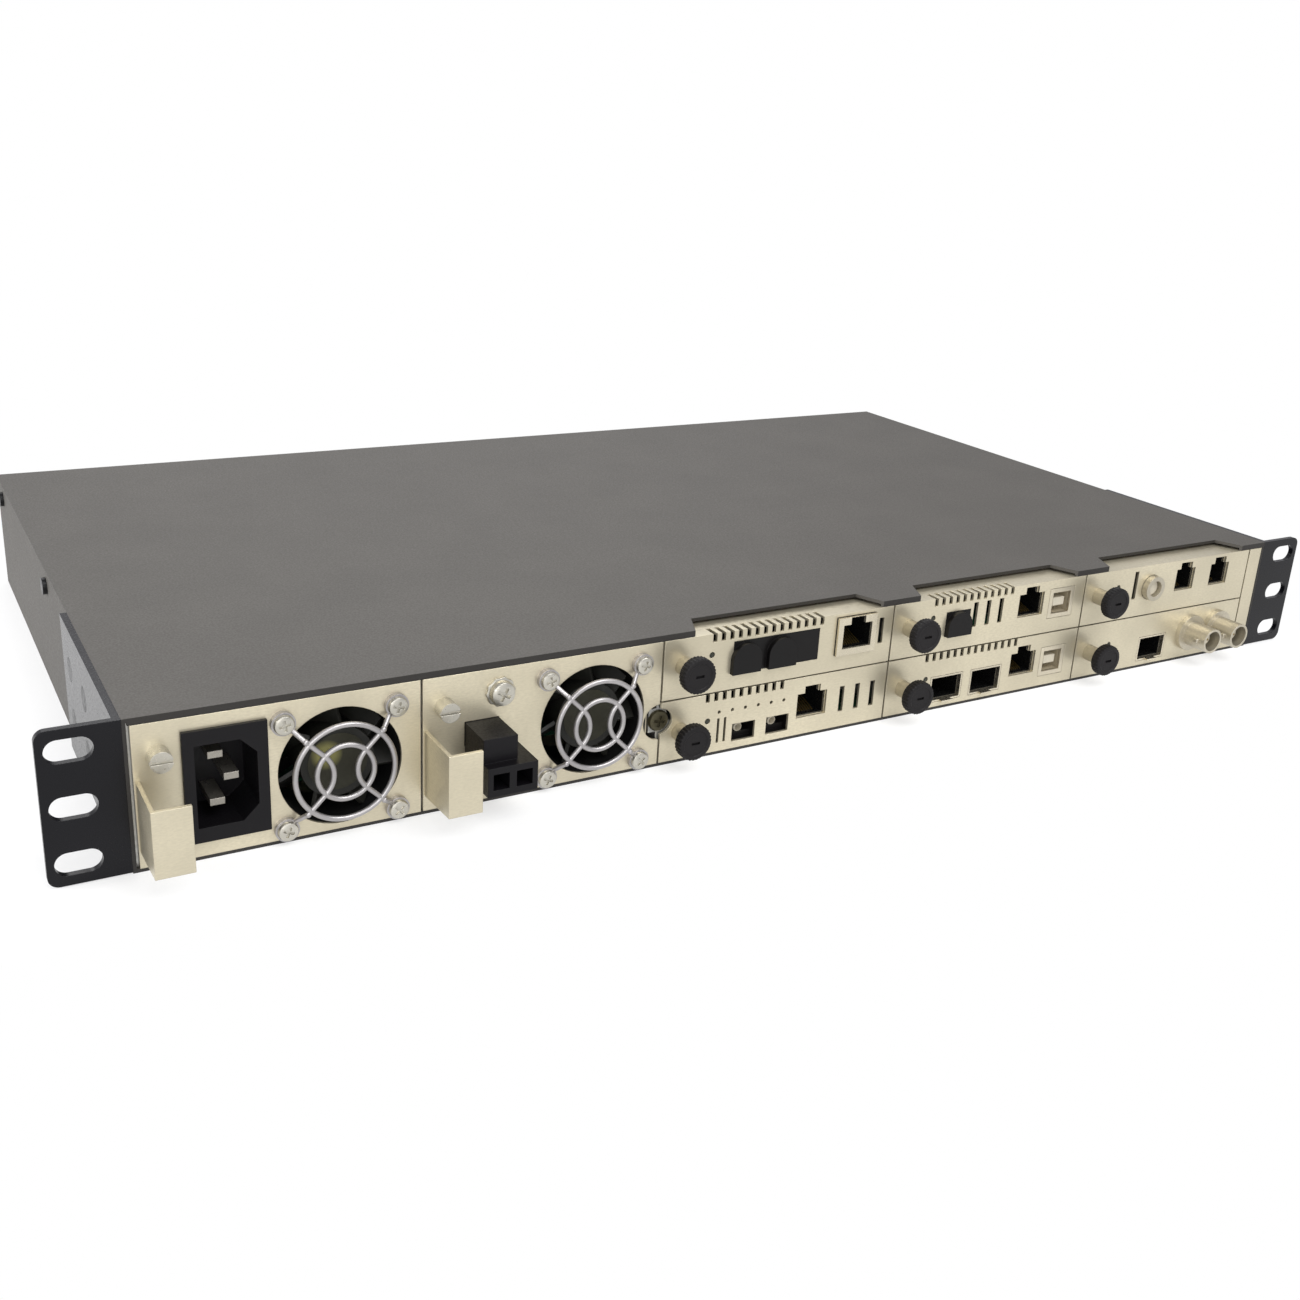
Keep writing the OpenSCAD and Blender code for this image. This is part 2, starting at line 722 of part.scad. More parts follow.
// The right ear; the left one is its mirror image.
module ear_shape() {
    difference() {
        union() {
            translate([half_w, ear_t, -ear_h / 2]) rotate([90, 0, 0])
                linear_extrude(height = ear_t)
                    union() {
                        square([ear_reach - ear_corner, ear_h]);
                        translate([0, ear_corner]) square([ear_reach, ear_h - 2 * ear_corner]);
                        for (z = [ear_corner, ear_h - ear_corner])
                            translate([ear_reach - ear_corner, z]) circle(r = ear_corner);
                    }
            block([half_w, 0, -ear_h / 2], [half_w + ear_t, ear_arm, ear_h / 2]);
        }
        for (z = slot_rows)
            for (x = [-1, 1])
                rod(half_w + slot_out + x * (slot_len - slot_h) / 2, z, -over, ear_t + over, slot_h / 2);
        for (z = slot_rows)
            translate([half_w + slot_out, 0, z])
                cube([slot_len - slot_h, 4 * ear_t, slot_h], center = true);
        ear_screw_places() {
            cross_rod(half_w - over, half_w + ear_t + over, 0, 0, ear_screw_r + run_gap);
            translate([half_w + ear_t - (ear_screw_head_r - ear_screw_r), 0, 0]) rotate([0, 90, 0])
                cylinder(h = ear_screw_head_r - ear_screw_r + run_gap,
                         r1 = ear_screw_r + run_gap, r2 = ear_screw_head_r + 2 * run_gap);
        }
    }
}

module ear_right() {
    color(dark) ear_shape();
}

module ear_left() {
    color(dark) mirror([1, 0, 0]) ear_shape();
}

module ear_screws() {
    color(dark)
        for (s = [0, 1]) mirror([s, 0, 0])
            ear_screw_places() {
                cross_rod(half_w + ear_t - ear_screw_len, half_w + ear_t - run_gap, 0, 0, ear_screw_r);
                translate([half_w + ear_t - (ear_screw_head_r - ear_screw_r), 0, 0]) rotate([0, 90, 0])
                    cylinder(h = ear_screw_head_r - ear_screw_r, r1 = ear_screw_r, r2 = ear_screw_head_r);
            }
}

module pan_screw() {
    translate([0, -cover_screw_head_h, 0]) rotate([-90, 0, 0])
        cylinder(h = cover_screw_head_h, r = cover_screw_head_r);
    rotate([-90, 0, 0]) cylinder(h = cover_screw_len, r = cover_screw_r);
}

module cover_screws() {
    color(silver) {
        for (s = [-1, 1], y = screw_side_y)
            translate([s * half_w, y, top_z - cover_screw_drop]) rotate([0, 0, s * 90]) pan_screw();
        for (x = [-cover_screw_rear_x, 0, cover_screw_rear_x])
            translate([x, body_d, top_z - cover_screw_drop]) rotate([0, 0, 180]) pan_screw();
    }
}

// A tapped block behind the faces.
module seat(x0, x1, z) {
    block([x0, divider_y, z - seat_h / 2], [x1, divider_y + seat_d, z + seat_h / 2]);
}

module divider_sheet(x) {
    block([x - divider_t / 2, divider_y, deck_z], [x + divider_t / 2, divider_end, roof_z - slide_gap]);
}

module psu_dividers() {
    color(silver) for (x = psu_x)
        difference() {
            union() {
                divider_sheet(x);
                seat(x, x + case_in - 2 * slide_gap, captive_z);
            }
            rod(x + captive_x, captive_z, 0, divider_y + seat_d + over, knob_thread_r + run_gap);
            // room for the cover's side flange
            block([x - divider_t, flange_y0 - over, top_z - cover_flange_h - slide_gap],
                  [x + divider_t, divider_end + over, top_z]);
            ear_screw_places() cross_rod(x - divider_t, x + divider_t, 0, 0, ear_screw_r + run_gap);
        }
}

module card_dividers() {
    color(silver) for (x = card_x)
        difference() {
            union() {
                divider_sheet(x);
                for (z = [knob_upper_z, knob_lower_z])
                    seat(x, x + seat_w, z);
                seat(x - seam_seat_half, x + seam_seat_half, seam_z);
            }
            for (z = [knob_upper_z, knob_lower_z])
                rod(x + knob_x, z, 0, divider_y + seat_d + over, knob_thread_r + run_gap);
            rod(x, seam_z, 0, divider_y + seat_d - over, knob_thread_r);
        }
}

module end_divider() {
    color(champagne) {
        divider_sheet(end_x);
        block([end_x + face_gap, 0, face_bottom], [wall_in - face_gap, sheet_t, face_top]);
        block([end_x + face_gap, 0, face_bottom], [end_x + divider_t / 2, divider_y + over, face_top]);
    }
}

module rail(x, z, s) {
    difference() {
        translate([x + s * (divider_t + rail_w) / 2, rail_y + rail_len / 2, z + board_t / 2])
            cube([rail_w, rail_len, rail_h], center = true);
        block([min(x + s * (board_side - slide_gap), x + s * (rail_w + divider_t)), rail_y - over, z],
              [max(x + s * (board_side - slide_gap), x + s * (rail_w + divider_t)),
               rail_y + rail_len + over, z + board_t + groove_gap]);
    }
}

module card_guides() {
    color([0.9, 0.9, 0.85])
        for (z = [board_upper_z, board_lower_z]) {
            for (x = card_x)
                rail(x, z, 1);
            for (x = [card_x[1], card_x[2], end_x])
                rail(x, z, -1);
        }
}

module edge_socket(x, z) {
    difference() {
        block([x - socket_w / 2, plane_y - socket_d, z + (board_t + groove_gap - socket_h) / 2],
              [x + socket_w / 2, plane_y, z + (board_t + groove_gap + socket_h) / 2]);
        block([x - socket_w / 2 + over, plane_y - socket_d - over, z - slide_gap],
              [x + socket_w / 2 - over, plane_y - socket_d + socket_slot_d, z + board_t + slide_gap]);
    }
}

module backplane() {
    color(green) {
        difference() {
            block([-wall_in + plane_gap, plane_y, deck_z],
                  [end_x + divider_t, plane_y + plane_t, roof_z - plane_gap]);
            for (x = psu_x)
                translate([x + (case_in + case_out) / 2, plane_y, psu_board_z + socket_h + window_h / 2])
                    cube([window_w, 4 * plane_t, window_h], center = true);
        }
        for (x = card_x, z = [board_upper_z, board_lower_z])
            edge_socket(x + card_pitch / 2, z);
        for (x = psu_x)
            edge_socket(x + (case_in + case_out) / 2, psu_board_z);
    }
}

// Power supply pieces.
module psu_case_shape(x, notch_right) {
    x0 = x + case_in;
    x1 = x + case_out;
    z1 = face_top - case_top_gap;
    difference() {
        union() {
            block([x + face_gap, 0, deck_z], [x + psu_pitch - face_gap, sheet_t, face_top]);
            difference() {
                block([x0, 0, deck_z], [x1, case_d, z1]);
                block([x0 + case_t, sheet_t, deck_z + case_t], [x1 - case_t, case_d + over, z1 - case_t]);
            }
            for (px = [x0 + post_w, x1 - post_w], py = [psu_board_y + post_w, case_d - 2 * post_w])
                translate([px, py, (deck_z + psu_board_z) / 2])
                    cube([post_w, post_w, psu_board_z - deck_z], center = true);
        }
        rod(x + captive_x, captive_z, -over, sheet_t + over, knob_thread_r + slide_gap);
        rod(x + fan_x, fan_z, -over, sheet_t + over, fan_r);
        for (sx = [-1, 1], sz = [-1, 1])
            rod(x + fan_x + sx * fan_screw_half, fan_z + sz * fan_screw_half,
                -over, sheet_t + over, fan_hole_r);
        translate([x + fan_x, sheet_t + fan_d / 2, fan_z])
            cube([fan_side + 2 * slide_gap, fan_d, fan_side + 2 * slide_gap], center = true);
        if (notch_right)
            rod(x + psu_pitch, seam_z, -over, sheet_t + over, seam_notch_r);
    }
}

module psu_ac_case() {
    x = psu_x[0];
    color(champagne) difference() {
        psu_case_shape(x, false);
        block([x + inlet_in + inlet_step - port_gap, -over, inlet_z0 + inlet_step - port_gap],
              [x + inlet_in + inlet_w - inlet_step + port_gap, sheet_t + over,
               inlet_z1 - inlet_step + port_gap]);
    }
}

module psu_dc_case() {
    x = psu_x[1];
    color(champagne) difference() {
        psu_case_shape(x, true);
        block([x + term_in - port_gap, -over, term_mid_z - port_gap],
              [x + term_in + term_w + port_gap, sheet_t + over, term_z1 + port_gap]);
    }
}

module handle_shape(x) {
    x0 = x + handle_in;
    union() {
        difference() {
            block([x0, -handle_reach, handle_z0 - handle_slope], [x0 + handle_t, 0, handle_z1]);
            // the blade is cut slanting, higher at its outer end
            translate([x0 - over, 0, handle_z0 - handle_slope]) rotate([90, 0, 90])
                linear_extrude(height = handle_t + 2 * over)
                    polygon([[0, 0], [-handle_reach - over, 0], [-handle_reach - over, handle_slope],
                             [-handle_reach, handle_slope]]);
        }
        block([x0, -handle_reach, handle_z0], [x0 + handle_w, -handle_reach + handle_t, handle_z1]);
    }
}

module psu_ac_handle() {
    color(champagne) handle_shape(psu_x[0]);
}

module psu_dc_handle() {
    color(champagne) handle_shape(psu_x[1]);
}

module captive_shape(x) {
    difference() {
        union() {
            rod(x + captive_x, captive_z, -captive_len, 0, captive_r);
            rod(x + captive_x, captive_z, -captive_len / 2, divider_y + seat_d, knob_thread_r);
        }
        translate([x + captive_x, -captive_len, captive_z])
            cube([2 * captive_r + over, captive_slot * 2, captive_slot], center = true);
    }
}

module psu_ac_screw() {
    color(silver) captive_shape(psu_x[0]);
}

module psu_dc_screw() {
    color(silver) captive_shape(psu_x[1]);
}

module fan_frame_shape(x) {
    y1 = sheet_t + fan_d;
    difference() {
        translate([x + fan_x, sheet_t + fan_d / 2, fan_z])
            cube([fan_side, fan_d, fan_side], center = true);
        rod(x + fan_x, fan_z, 0, y1 + over, fan_r);
        for (sx = [-1, 1], sz = [-1, 1])
            rod(x + fan_x + sx * fan_screw_half, fan_z + sz * fan_screw_half, 0, y1 + over, fan_hole_r);
    }
    // the motor's plate, its three arms and the shaft
    rod(x + fan_x, fan_z, y1 - motor_t, y1, motor_r);
    for (a = [30, 150, 270])
        translate([x + fan_x, y1 - motor_t / 2, fan_z]) rotate([0, a, 0])
            translate([(motor_r + fan_r) / 2, 0, 0])
                cube([fan_r - motor_r + over, motor_t, motor_arm_w], center = true);
    rod(x + fan_x, fan_z, sheet_t + hub_in + hub_d / 2, y1, shaft_r);
}

module psu_ac_fan_frame() {
    color(dark) fan_frame_shape(psu_x[0]);
}

module psu_dc_fan_frame() {
    color(dark) fan_frame_shape(psu_x[1]);
}

module rotor_shape(x) {
    y0 = sheet_t + hub_in;
    tip_r = fan_r - tip_gap;
    difference() {
        union() {
            rod(x + fan_x, fan_z, y0, y0 + hub_d, hub_r);
            intersection() {
                rod(x + fan_x, fan_z, y0, y0 + hub_d, tip_r);
                for (i = [0 : blade_count - 1])
                    translate([x + fan_x, y0 + hub_d / 2, fan_z]) rotate([0, i * 360 / blade_count, 0])
                        translate([(hub_r + tip_r) / 2, 0, 0]) rotate([blade_tilt, 0, 0])
                            cube([tip_r - hub_r + over, hub_d, blade_t], center = true);
            }
        }
        rod(x + fan_x, fan_z, y0 + hub_d / 2 - over, y0 + hub_d + over, shaft_r + run_gap);
    }
}

module psu_ac_fan_rotor() {
    color([0.25, 0.25, 0.2]) rotor_shape(psu_x[0]);
}

module psu_dc_fan_rotor() {
    color([0.25, 0.25, 0.2]) rotor_shape(psu_x[1]);
}

// A closed ring of wire in the XZ plane.
module wire_ring(x, z, r) {
    translate([x, -guard_front, z]) rotate([90, 0, 0])
        rotate_extrude($fn = 30) translate([r, 0]) circle(r = wire_r, $fn = 13);
}

// A straight wire between two points.
module straight_wire(a, b, r) {
    d = b - a;
    translate(a) rotate([0, acos(d[2] / norm(d)), atan2(d[1], d[0])]) cylinder(h = norm(d), r = r);
}

// A bowed wire: an arc, and two straight legs whose ends slant back to the screw loops.
module bow() {
    mid = guard_bow_in + guard_bow_r;
    far = norm([fan_screw_half - mid, fan_screw_half]);
    turn = 180 - atan2(fan_screw_half, fan_screw_half - mid) - acos(guard_bow_r / far);
    leg = sqrt(far * far - guard_bow_r * guard_bow_r);
    bend = leg - guard_loop_r - guard_slant;
    start = [mid - guard_bow_r * cos(turn), -guard_front, guard_bow_r * sin(turn)];
    way = [sin(turn), 0, cos(turn)];
    knee = start + bend * way;
    translate([mid, -guard_front, 0]) rotate([90, 0, 0]) rotate([0, 0, 180 - turn])
        rotate_extrude(angle = 2 * turn, $fn = 36) translate([guard_bow_r, 0]) circle(r = wire_r, $fn = 13);
    for (sz = [0, 1]) mirror([0, 0, sz]) {
        straight_wire(start, knee, guard_leg_r);
        translate(knee) sphere(r = guard_knee_r);
        straight_wire(knee, knee + guard_slant * way + [0, guard_front - wire_r, 0], guard_leg_r);
    }
}

module guard_shape(x) {
    cx = x + fan_x;
    wire_ring(cx, fan_z, guard_outer_r);
    wire_ring(cx, fan_z, guard_inner_r);
    translate([cx, 0, fan_z])
        for (sx = [0, 1]) mirror([sx, 0, 0]) bow();
    for (sx = [-1, 1], sz = [-1, 1])
        difference() {
            rod(cx + sx * fan_screw_half, fan_z + sz * fan_screw_half,
                -2 * wire_r, 0, guard_loop_r + wire_r);
            rod(cx + sx * fan_screw_half, fan_z + sz * fan_screw_half,
                -guard_front - over, over, guard_loop_r - wire_r);
        }
}

module psu_ac_fan_guard() {
    color(silver) guard_shape(psu_x[0]);
}

module psu_dc_fan_guard() {
    color(silver) guard_shape(psu_x[1]);
}

module psu_ac_inlet() {
    x0 = psu_x[0] + inlet_in;
    cx = x0 + inlet_w / 2;
    cz = (inlet_z0 + inlet_z1) / 2;
    color(dark) difference() {
        union() {
            block([x0, -inlet_proud, inlet_z0], [x0 + inlet_w, 0, inlet_z1]);
            block([x0 + inlet_step, -inlet_proud, inlet_z0 + inlet_step],
                  [x0 + inlet_w - inlet_step, inlet_d, inlet_z1 - inlet_step]);
        }
        translate([cx, recess_d - inlet_proud, cz]) rotate([90, 0, 0])
            linear_extrude(height = recess_d + over)
                polygon([[-recess_w / 2, -recess_h / 2], [recess_w / 2 - recess_cut, -recess_h / 2],
                         [recess_w / 2, -recess_h / 2 + recess_cut],
                         [recess_w / 2, recess_h / 2 - recess_cut],
                         [recess_w / 2 - recess_cut, recess_h / 2], [-recess_w / 2, recess_h / 2]]);
        pin_places() cube([pin_w, 8 * inlet_d, pin_t], center = true);
    }
}

module pin_places() {
    cx = psu_x[0] + inlet_in + inlet_w / 2;
    cz = (inlet_z0 + inlet_z1) / 2;
    for (s = [-1, 1])
        translate([cx - pin_offset / 2, 0, cz + s * pin_pitch / 2]) children();
    translate([cx + pin_offset / 2, 0, cz]) children();
}

module psu_ac_inlet_pins() {
    color(silver) pin_places()
        translate([-pin_w / 2, pin_in - inlet_proud, -pin_t / 2])
            cube([pin_w, inlet_d + pin_tail + inlet_proud - pin_in, pin_t]);
}

module psu_dc_terminals() {
    x0 = psu_x[1] + term_in;
    color(dark) difference() {
        union() {
            block([x0, -term_reach, term_mid_z], [x0 + term_w, term_d, term_z1]);
            block([x0, -term_plug_reach, term_z0], [x0 + term_plug_w, 0, term_mid_z]);
        }
        for (s = [-1, 1])
            translate([x0 + term_plug_w / 2 + s * term_pitch / 2, -term_plug_reach,
                       (term_z0 + term_mid_z) / 2])
                cube([term_mouth_w, 2 * term_mouth_d, term_mouth_h], center = true);
    }
}

module psu_board_shape(x) {
    x0 = x + case_in + case_t + psu_board_side;
    x1 = x + case_out - case_t - psu_board_side;
    cx = (x + case_in + x + case_out) / 2;
    top = psu_board_z + board_t;
    color(green) {
        block([x0, psu_board_y, psu_board_z], [x1, case_d - post_w, top]);
        block([cx - tongue_w / 2, case_d - post_w, psu_board_z], [cx + tongue_w / 2, board_end, top]);
        translate([cx - core_size[0] / 2, core_y, top]) cube(core_size);
        for (s = [-1, 1])
            translate([cx + s * (cap_r + over), psu_board_y + cap_y, top]) cylinder(h = cap_h, r = cap_r);
        for (s = [-1, 1])
            translate([cx + s * (core_size[0] / 2 + 2 * sink_size[0]) - sink_size[0] / 2, core_y, top])
                cube(sink_size);
    }
}

module psu_ac_board() {
    psu_board_shape(psu_x[0]);
}

module psu_dc_board() {
    psu_board_shape(psu_x[1]);
}

// Pieces that every card has.
// The blank face of a card: sheet, top flange, tabs under the board, screw and lamp holes.
module face_blank(x, upper) {
    z0 = upper ? upper_bottom : face_bottom;
    z1 = upper ? face_top : lower_top;
    bz = upper ? board_upper_z : board_lower_z;
    kz = upper ? knob_upper_z : knob_lower_z;
    lz = upper ? lamp_upper_z : lamp_lower_z;
    difference() {
        union() {
            block([x + face_gap, 0, z0], [x + card_pitch - face_gap, sheet_t, z1]);
            block([x + flange_in, 0, z1 - sheet_t], [x + flange_out, flange_d, z1]);
            for (t = [tab_in, tab_out])
                block([x + t, 0, bz - sheet_t], [x + t + tab_w, tab_d, bz]);
        }
        rod(x + knob_x, kz, -over, sheet_t + over, knob_thread_r + slide_gap);
        rod(x + lamp_x, lz, -over, sheet_t + over, lamp_r);
    }
}

// A row of comb slots through the bend of the top flange.
module comb(x0, x1, z1) {
    count = floor((x1 - x0) / comb_pitch);
    for (i = [0 : count])
        block([x0 + i * comb_pitch, -over, z1 - comb_h], [x0 + i * comb_pitch + comb_w, comb_d, z1 + over]);
}

// A slit through a face.
module slit(x, z0, z1, w) {
    block([x - w / 2, -over, z0], [x + w / 2, sheet_t + over, z1]);
}

// The mouth of a data jack above a board; grow widens it for the face's cut-out.
module jack_mouth(x, bz, y0, y1, w, grow) {
    z0 = bz + board_t + mouth_lift;
    block([x - w / 2 - grow, y0, z0 - grow], [x + w / 2 + grow, y1, z0 + mouth_h + grow]);
    block([x - latch_w / 2 - grow, y0, z0], [x + latch_w / 2 + grow, y1, z0 + mouth_h + latch_h + grow]);
}

module jack(x, bz, y0, w) {
    difference() {
        block([x - jack_w / 2, y0, bz + board_t], [x + jack_w / 2, jack_d, bz + board_t + jack_h]);
        jack_mouth(x, bz, y0 - over, y0 + mouth_d, w, 0);
    }
}

module box_hole(x, z0, w, h, grow) {
    block([x - w / 2 - grow, -over, z0 - grow], [x + w / 2 + grow, sheet_t + over, z0 + h + grow]);
}

module bus_port(x, bz) {
    z0 = bz + board_t;
    difference() {
        block([x - bus_w / 2, 0, z0], [x + bus_w / 2, bus_d, z0 + bus_h]);
        block([x - bus_w / 2 + bus_wall, -over, z0 + bus_wall],
              [x + bus_w / 2 - bus_wall, bus_mouth_d, z0 + bus_h - bus_wall]);
    }
}

// A cage for a pluggable module, sunk into a cut-out of its board.
module cage(x, bz) {
    z0 = bz + board_t - cage_sink;
    block([x - cage_tongue_w / 2, -cage_tongue_d, z0], [x + cage_tongue_w / 2, cage_wall, z0 + cage_wall]);
    difference() {
        block([x - cage_w / 2 - cage_wall, 0, z0],
              [x + cage_w / 2 + cage_wall, cage_d, z0 + cage_h + 2 * cage_wall]);
        block([x - cage_w / 2, -over, z0 + cage_wall],
              [x + cage_w / 2, cage_d - cage_wall, z0 + cage_wall + cage_h]);
    }
}

module cage_hole(x, bz) {
    box_hole(x, bz + board_t - cage_sink, cage_w + 2 * cage_wall, cage_h + 2 * cage_wall, port_gap);
}

// The cut-out of a board for a cage.
module cage_cut(x, bz) {
    block([x - cage_w / 2 - cage_wall - port_gap, 0, bz - over],
          [x + cage_w / 2 + cage_wall + port_gap, cage_d + port_gap, bz + board_t + over]);
}

// A hood with a rounded top in front of the face, and its stem behind it.
module hood(x, z0, h) {
    difference() {
        union() {
            block([x - hood_w / 2, -hood_proud, z0], [x + hood_w / 2, 0, z0 + h - hood_w / 2]);
            rod(x, z0 + h - hood_w / 2, -hood_proud, 0, hood_w / 2);
        }
        block([x - hood_w, -hood_proud - over, z0 - hood_w], [x + hood_w, over, z0]);
    }
}

// A card's board, with a narrower rear tongue that goes into its socket.
module card_board(x, bz) {
    cx = x + card_pitch / 2;
    tongue = socket_w / 2 - over - slide_gap;
    color(green) {
        block([x + board_side, board_y, bz],
              [x + card_pitch - board_side, plane_y - socket_d - slide_gap, bz + board_t]);
        block([cx - tongue, board_y, bz], [cx + tongue, board_end, bz + board_t]);
    }
}

module knob(x, z) {
    color(dark) difference() {
        union() {
            rod(x + knob_x, z, -knob_collar_len, 0, knob_collar_r);
            rod(x + knob_x, z, -knob_collar_len - knob_len, -knob_collar_len, knob_r);
            rod(x + knob_x, z, -knob_collar_len, knob_shank, knob_thread_r);
        }
        translate([x + knob_x, -knob_collar_len - knob_len, z])
            cube([2 * knob_thread_r, captive_slot * 2, captive_slot], center = true);
    }
}

// Upper cards.
module card_1_face() {
    x = card_x[0];
    z0 = board_upper_z + board_t;
    color(champagne) difference() {
        face_blank(x, true);
        comb(x + lamp_x, x + one_comb_end, face_top);
        box_hole(one_jack_x, z0, jack_w, jack_h, port_gap);
        box_hole(one_fibre_x, z0, one_fibre_w, one_fibre_h, port_gap);
        slit(one_slit_x, slit_z_upper, slit_z_upper + slit_len, slit_w);
    }
}

module card_1_board() {
    card_board(card_x[0], board_upper_z);
}

module card_1_jack() {
    color(silver) jack(one_jack_x, board_upper_z, -jack_proud, mouth_w);
}

module card_1_fibre() {
    z0 = board_upper_z + board_t;
    color(dark) {
        block([one_fibre_x - one_fibre_w / 2, 0, z0],
              [one_fibre_x + one_fibre_w / 2, sc_d, z0 + one_fibre_h]);
        for (s = [-1, 1])
            hood(one_hood_x + s * one_hood_pitch / 2, z0, one_hood_h);
    }
}

module card_1_knob() {
    knob(card_x[0], knob_upper_z);
}

module card_2_face() {
    x = card_x[1];
    z0 = board_upper_z + board_t;
    color(champagne) difference() {
        face_blank(x, true);
        comb(x + lamp_x, x + two_comb_end, face_top);
        jack_mouth(two_jack_x, board_upper_z, -over, sheet_t + over, mouth_w, port_gap);
        box_hole(two_bus_x, z0, bus_w, bus_h, port_gap);
        box_hole(two_fibre_x, z0, hood_w, hood_h, port_gap);
        for (i = [0, 1, 2])
            slit(two_slit_x + i * two_slit_pitch, slit_z_upper, slit_z_upper + slit_len, slit_w);
    }
}

module card_2_board() {
    card_board(card_x[1], board_upper_z);
}

module card_2_jack() {
    color(silver) jack(two_jack_x, board_upper_z, sheet_t, mouth_w);
}

module card_2_bus_port() {
    color(silver) bus_port(two_bus_x, board_upper_z);
}

module card_2_fibre() {
    z0 = board_upper_z + board_t;
    color(dark) {
        block([two_fibre_x - hood_w / 2, 0, z0], [two_fibre_x + hood_w / 2, sc_d, z0 + hood_h]);
        hood(two_fibre_x, z0, hood_h);
    }
}

module card_2_knob() {
    knob(card_x[1], knob_upper_z);
}

module card_3_face() {
    x = card_x[2];
    z0 = board_upper_z + board_t;
    color(champagne) difference() {
        face_blank(x, true);
        for (i = [0, 1])
            jack_mouth(three_jack_x + i * three_jack_pitch, board_upper_z, -over, sheet_t + over,
                       phone_w, port_gap);
        rod(three_ring_x, knob_upper_z, -over, sheet_t + over, ring_r + port_gap);
        slit(three_slit_x, slit_z_upper, slit_z_upper + three_slit_len, slit_w);
    }
}

module card_3_board() {
    card_board(card_x[2], board_upper_z);
}

module card_3_jacks() {
    color(silver) for (i = [0, 1])
        jack(three_jack_x + i * three_jack_pitch, board_upper_z, sheet_t, phone_w);
}

module card_3_ring() {
    color(silver) difference() {
        union() {
            rod(three_ring_x, knob_upper_z, -ring_proud, ring_d, ring_r);
            block([three_ring_x - ring_r, sheet_t, board_upper_z + board_t],
                  [three_ring_x + ring_r, ring_d, knob_upper_z]);
        }
        rod(three_ring_x, knob_upper_z, -ring_proud - over, ring_d / 2, ring_in_r);
    }
}

module card_3_knob() {
    knob(card_x[2], knob_upper_z);
}

// Lower cards.
module card_4_face() {
    x = card_x[0];
    z0 = board_lower_z + board_t;
    color(champagne) difference() {
        face_blank(x, false);
        comb(x + four_comb_in, x + four_comb_end, lower_top);
        jack_mouth(four_jack_x, board_lower_z, -over, sheet_t + over, mouth_w, port_gap);
        for (s = [-1, 1])
            box_hole(four_fibre_x + s * four_fibre_pitch / 2, z0 - sc_sink, sc_w, sc_h, 0);
        for (i = [0, 1, 2])
            slit(four_slit_x + i * four_slit_pitch, slit_z_lower, slit_z_lower + slit_len, slit_w);
        rod(x, seam_z, -over, sheet_t + over, seam_card_notch_r);
        for (i = [0 : four_dot_count - 1])
            rod(x + four_dot_in + i * four_dot_pitch, four_dot_z, -over, sheet_t + over, four_dot_r);
        for (i = [0, 1])
            slit(x + four_thin_in + i * four_thin_pitch, four_thin_z0, four_thin_z1, four_thin_w);
    }
}

module card_4_board() {
    card_board(card_x[0], board_lower_z);
}

module card_4_jack() {
    color(silver) jack(four_jack_x, board_lower_z, sheet_t, mouth_w);
}

// The fibre pair's body is deeper in front of the board than above it.
module card_4_fibre() {
    z0 = board_lower_z + board_t;
    z1 = z0 - sc_sink + sc_h + sc_wall;
    half = (four_fibre_pitch + sc_w) / 2 + sc_wall;
    color(dark) difference() {
        union() {
            block([four_fibre_x - half, sheet_t, z0], [four_fibre_x + half, sc_d, z1]);
            block([four_fibre_x - half, sheet_t, z0 - sc_sink - sc_wall],
                  [four_fibre_x + half, board_y - slide_gap, z1]);
        }
        for (s = [-1, 1]) {
            block([four_fibre_x + s * four_fibre_pitch / 2 - sc_w / 2, -over, z0 - sc_sink],
                  [four_fibre_x + s * four_fibre_pitch / 2 + sc_w / 2, board_y - slide_gap - sc_wall / 2,
                   z1 - sc_wall]);
            block([four_fibre_x + s * four_fibre_pitch / 2 - sc_w / 2, -over, z0 + slide_gap],
                  [four_fibre_x + s * four_fibre_pitch / 2 + sc_w / 2, sc_mouth_d, z1 - sc_wall]);
        }
    }
}

module card_4_knob() {
    knob(card_x[0], knob_lower_z);
}

module card_5_face() {
    x = card_x[1];
    z0 = board_lower_z + board_t;
    color(champagne) difference() {
        face_blank(x, false);
        comb(x + four_comb_in, x + five_comb_end, lower_top);
        jack_mouth(five_jack_x, board_lower_z, -over, sheet_t + over, mouth_w, port_gap);
        box_hole(five_bus_x, z0, bus_w, bus_h, port_gap);
        for (i = [0, 1])
            cage_hole(five_cage_x + i * five_cage_pitch, board_lower_z);
    }
}

module card_5_board() {
    difference() {
        card_board(card_x[1], board_lower_z);
        for (i = [0, 1])
            cage_cut(five_cage_x + i * five_cage_pitch, board_lower_z);
    }
}

module card_5_jack() {
    color(silver) jack(five_jack_x, board_lower_z, sheet_t, mouth_w);
}

module card_5_bus_port() {
    color(silver) bus_port(five_bus_x, board_lower_z);
}

module card_5_cages() {
    color(silver) for (i = [0, 1])
        cage(five_cage_x + i * five_cage_pitch, board_lower_z);
}

module card_5_knob() {
    knob(card_x[1], knob_lower_z);
}

module card_6_face() {
    x = card_x[2];
    z0 = board_lower_z + board_t;
    color(champagne) difference() {
        face_blank(x, false);
        cage_hole(six_cage_x, board_lower_z);
        for (i = [0, 1])
            rod(six_coax_x + i * six_coax_pitch, z0 + coax_body / 2, -over, sheet_t + over,
                coax_lip_r + port_gap);
    }
}

module card_6_board() {
    difference() {
        card_board(card_x[2], board_lower_z);
        cage_cut(six_cage_x, board_lower_z);
    }
}

module card_6_cage() {
    color(silver) cage(six_cage_x, board_lower_z);
}

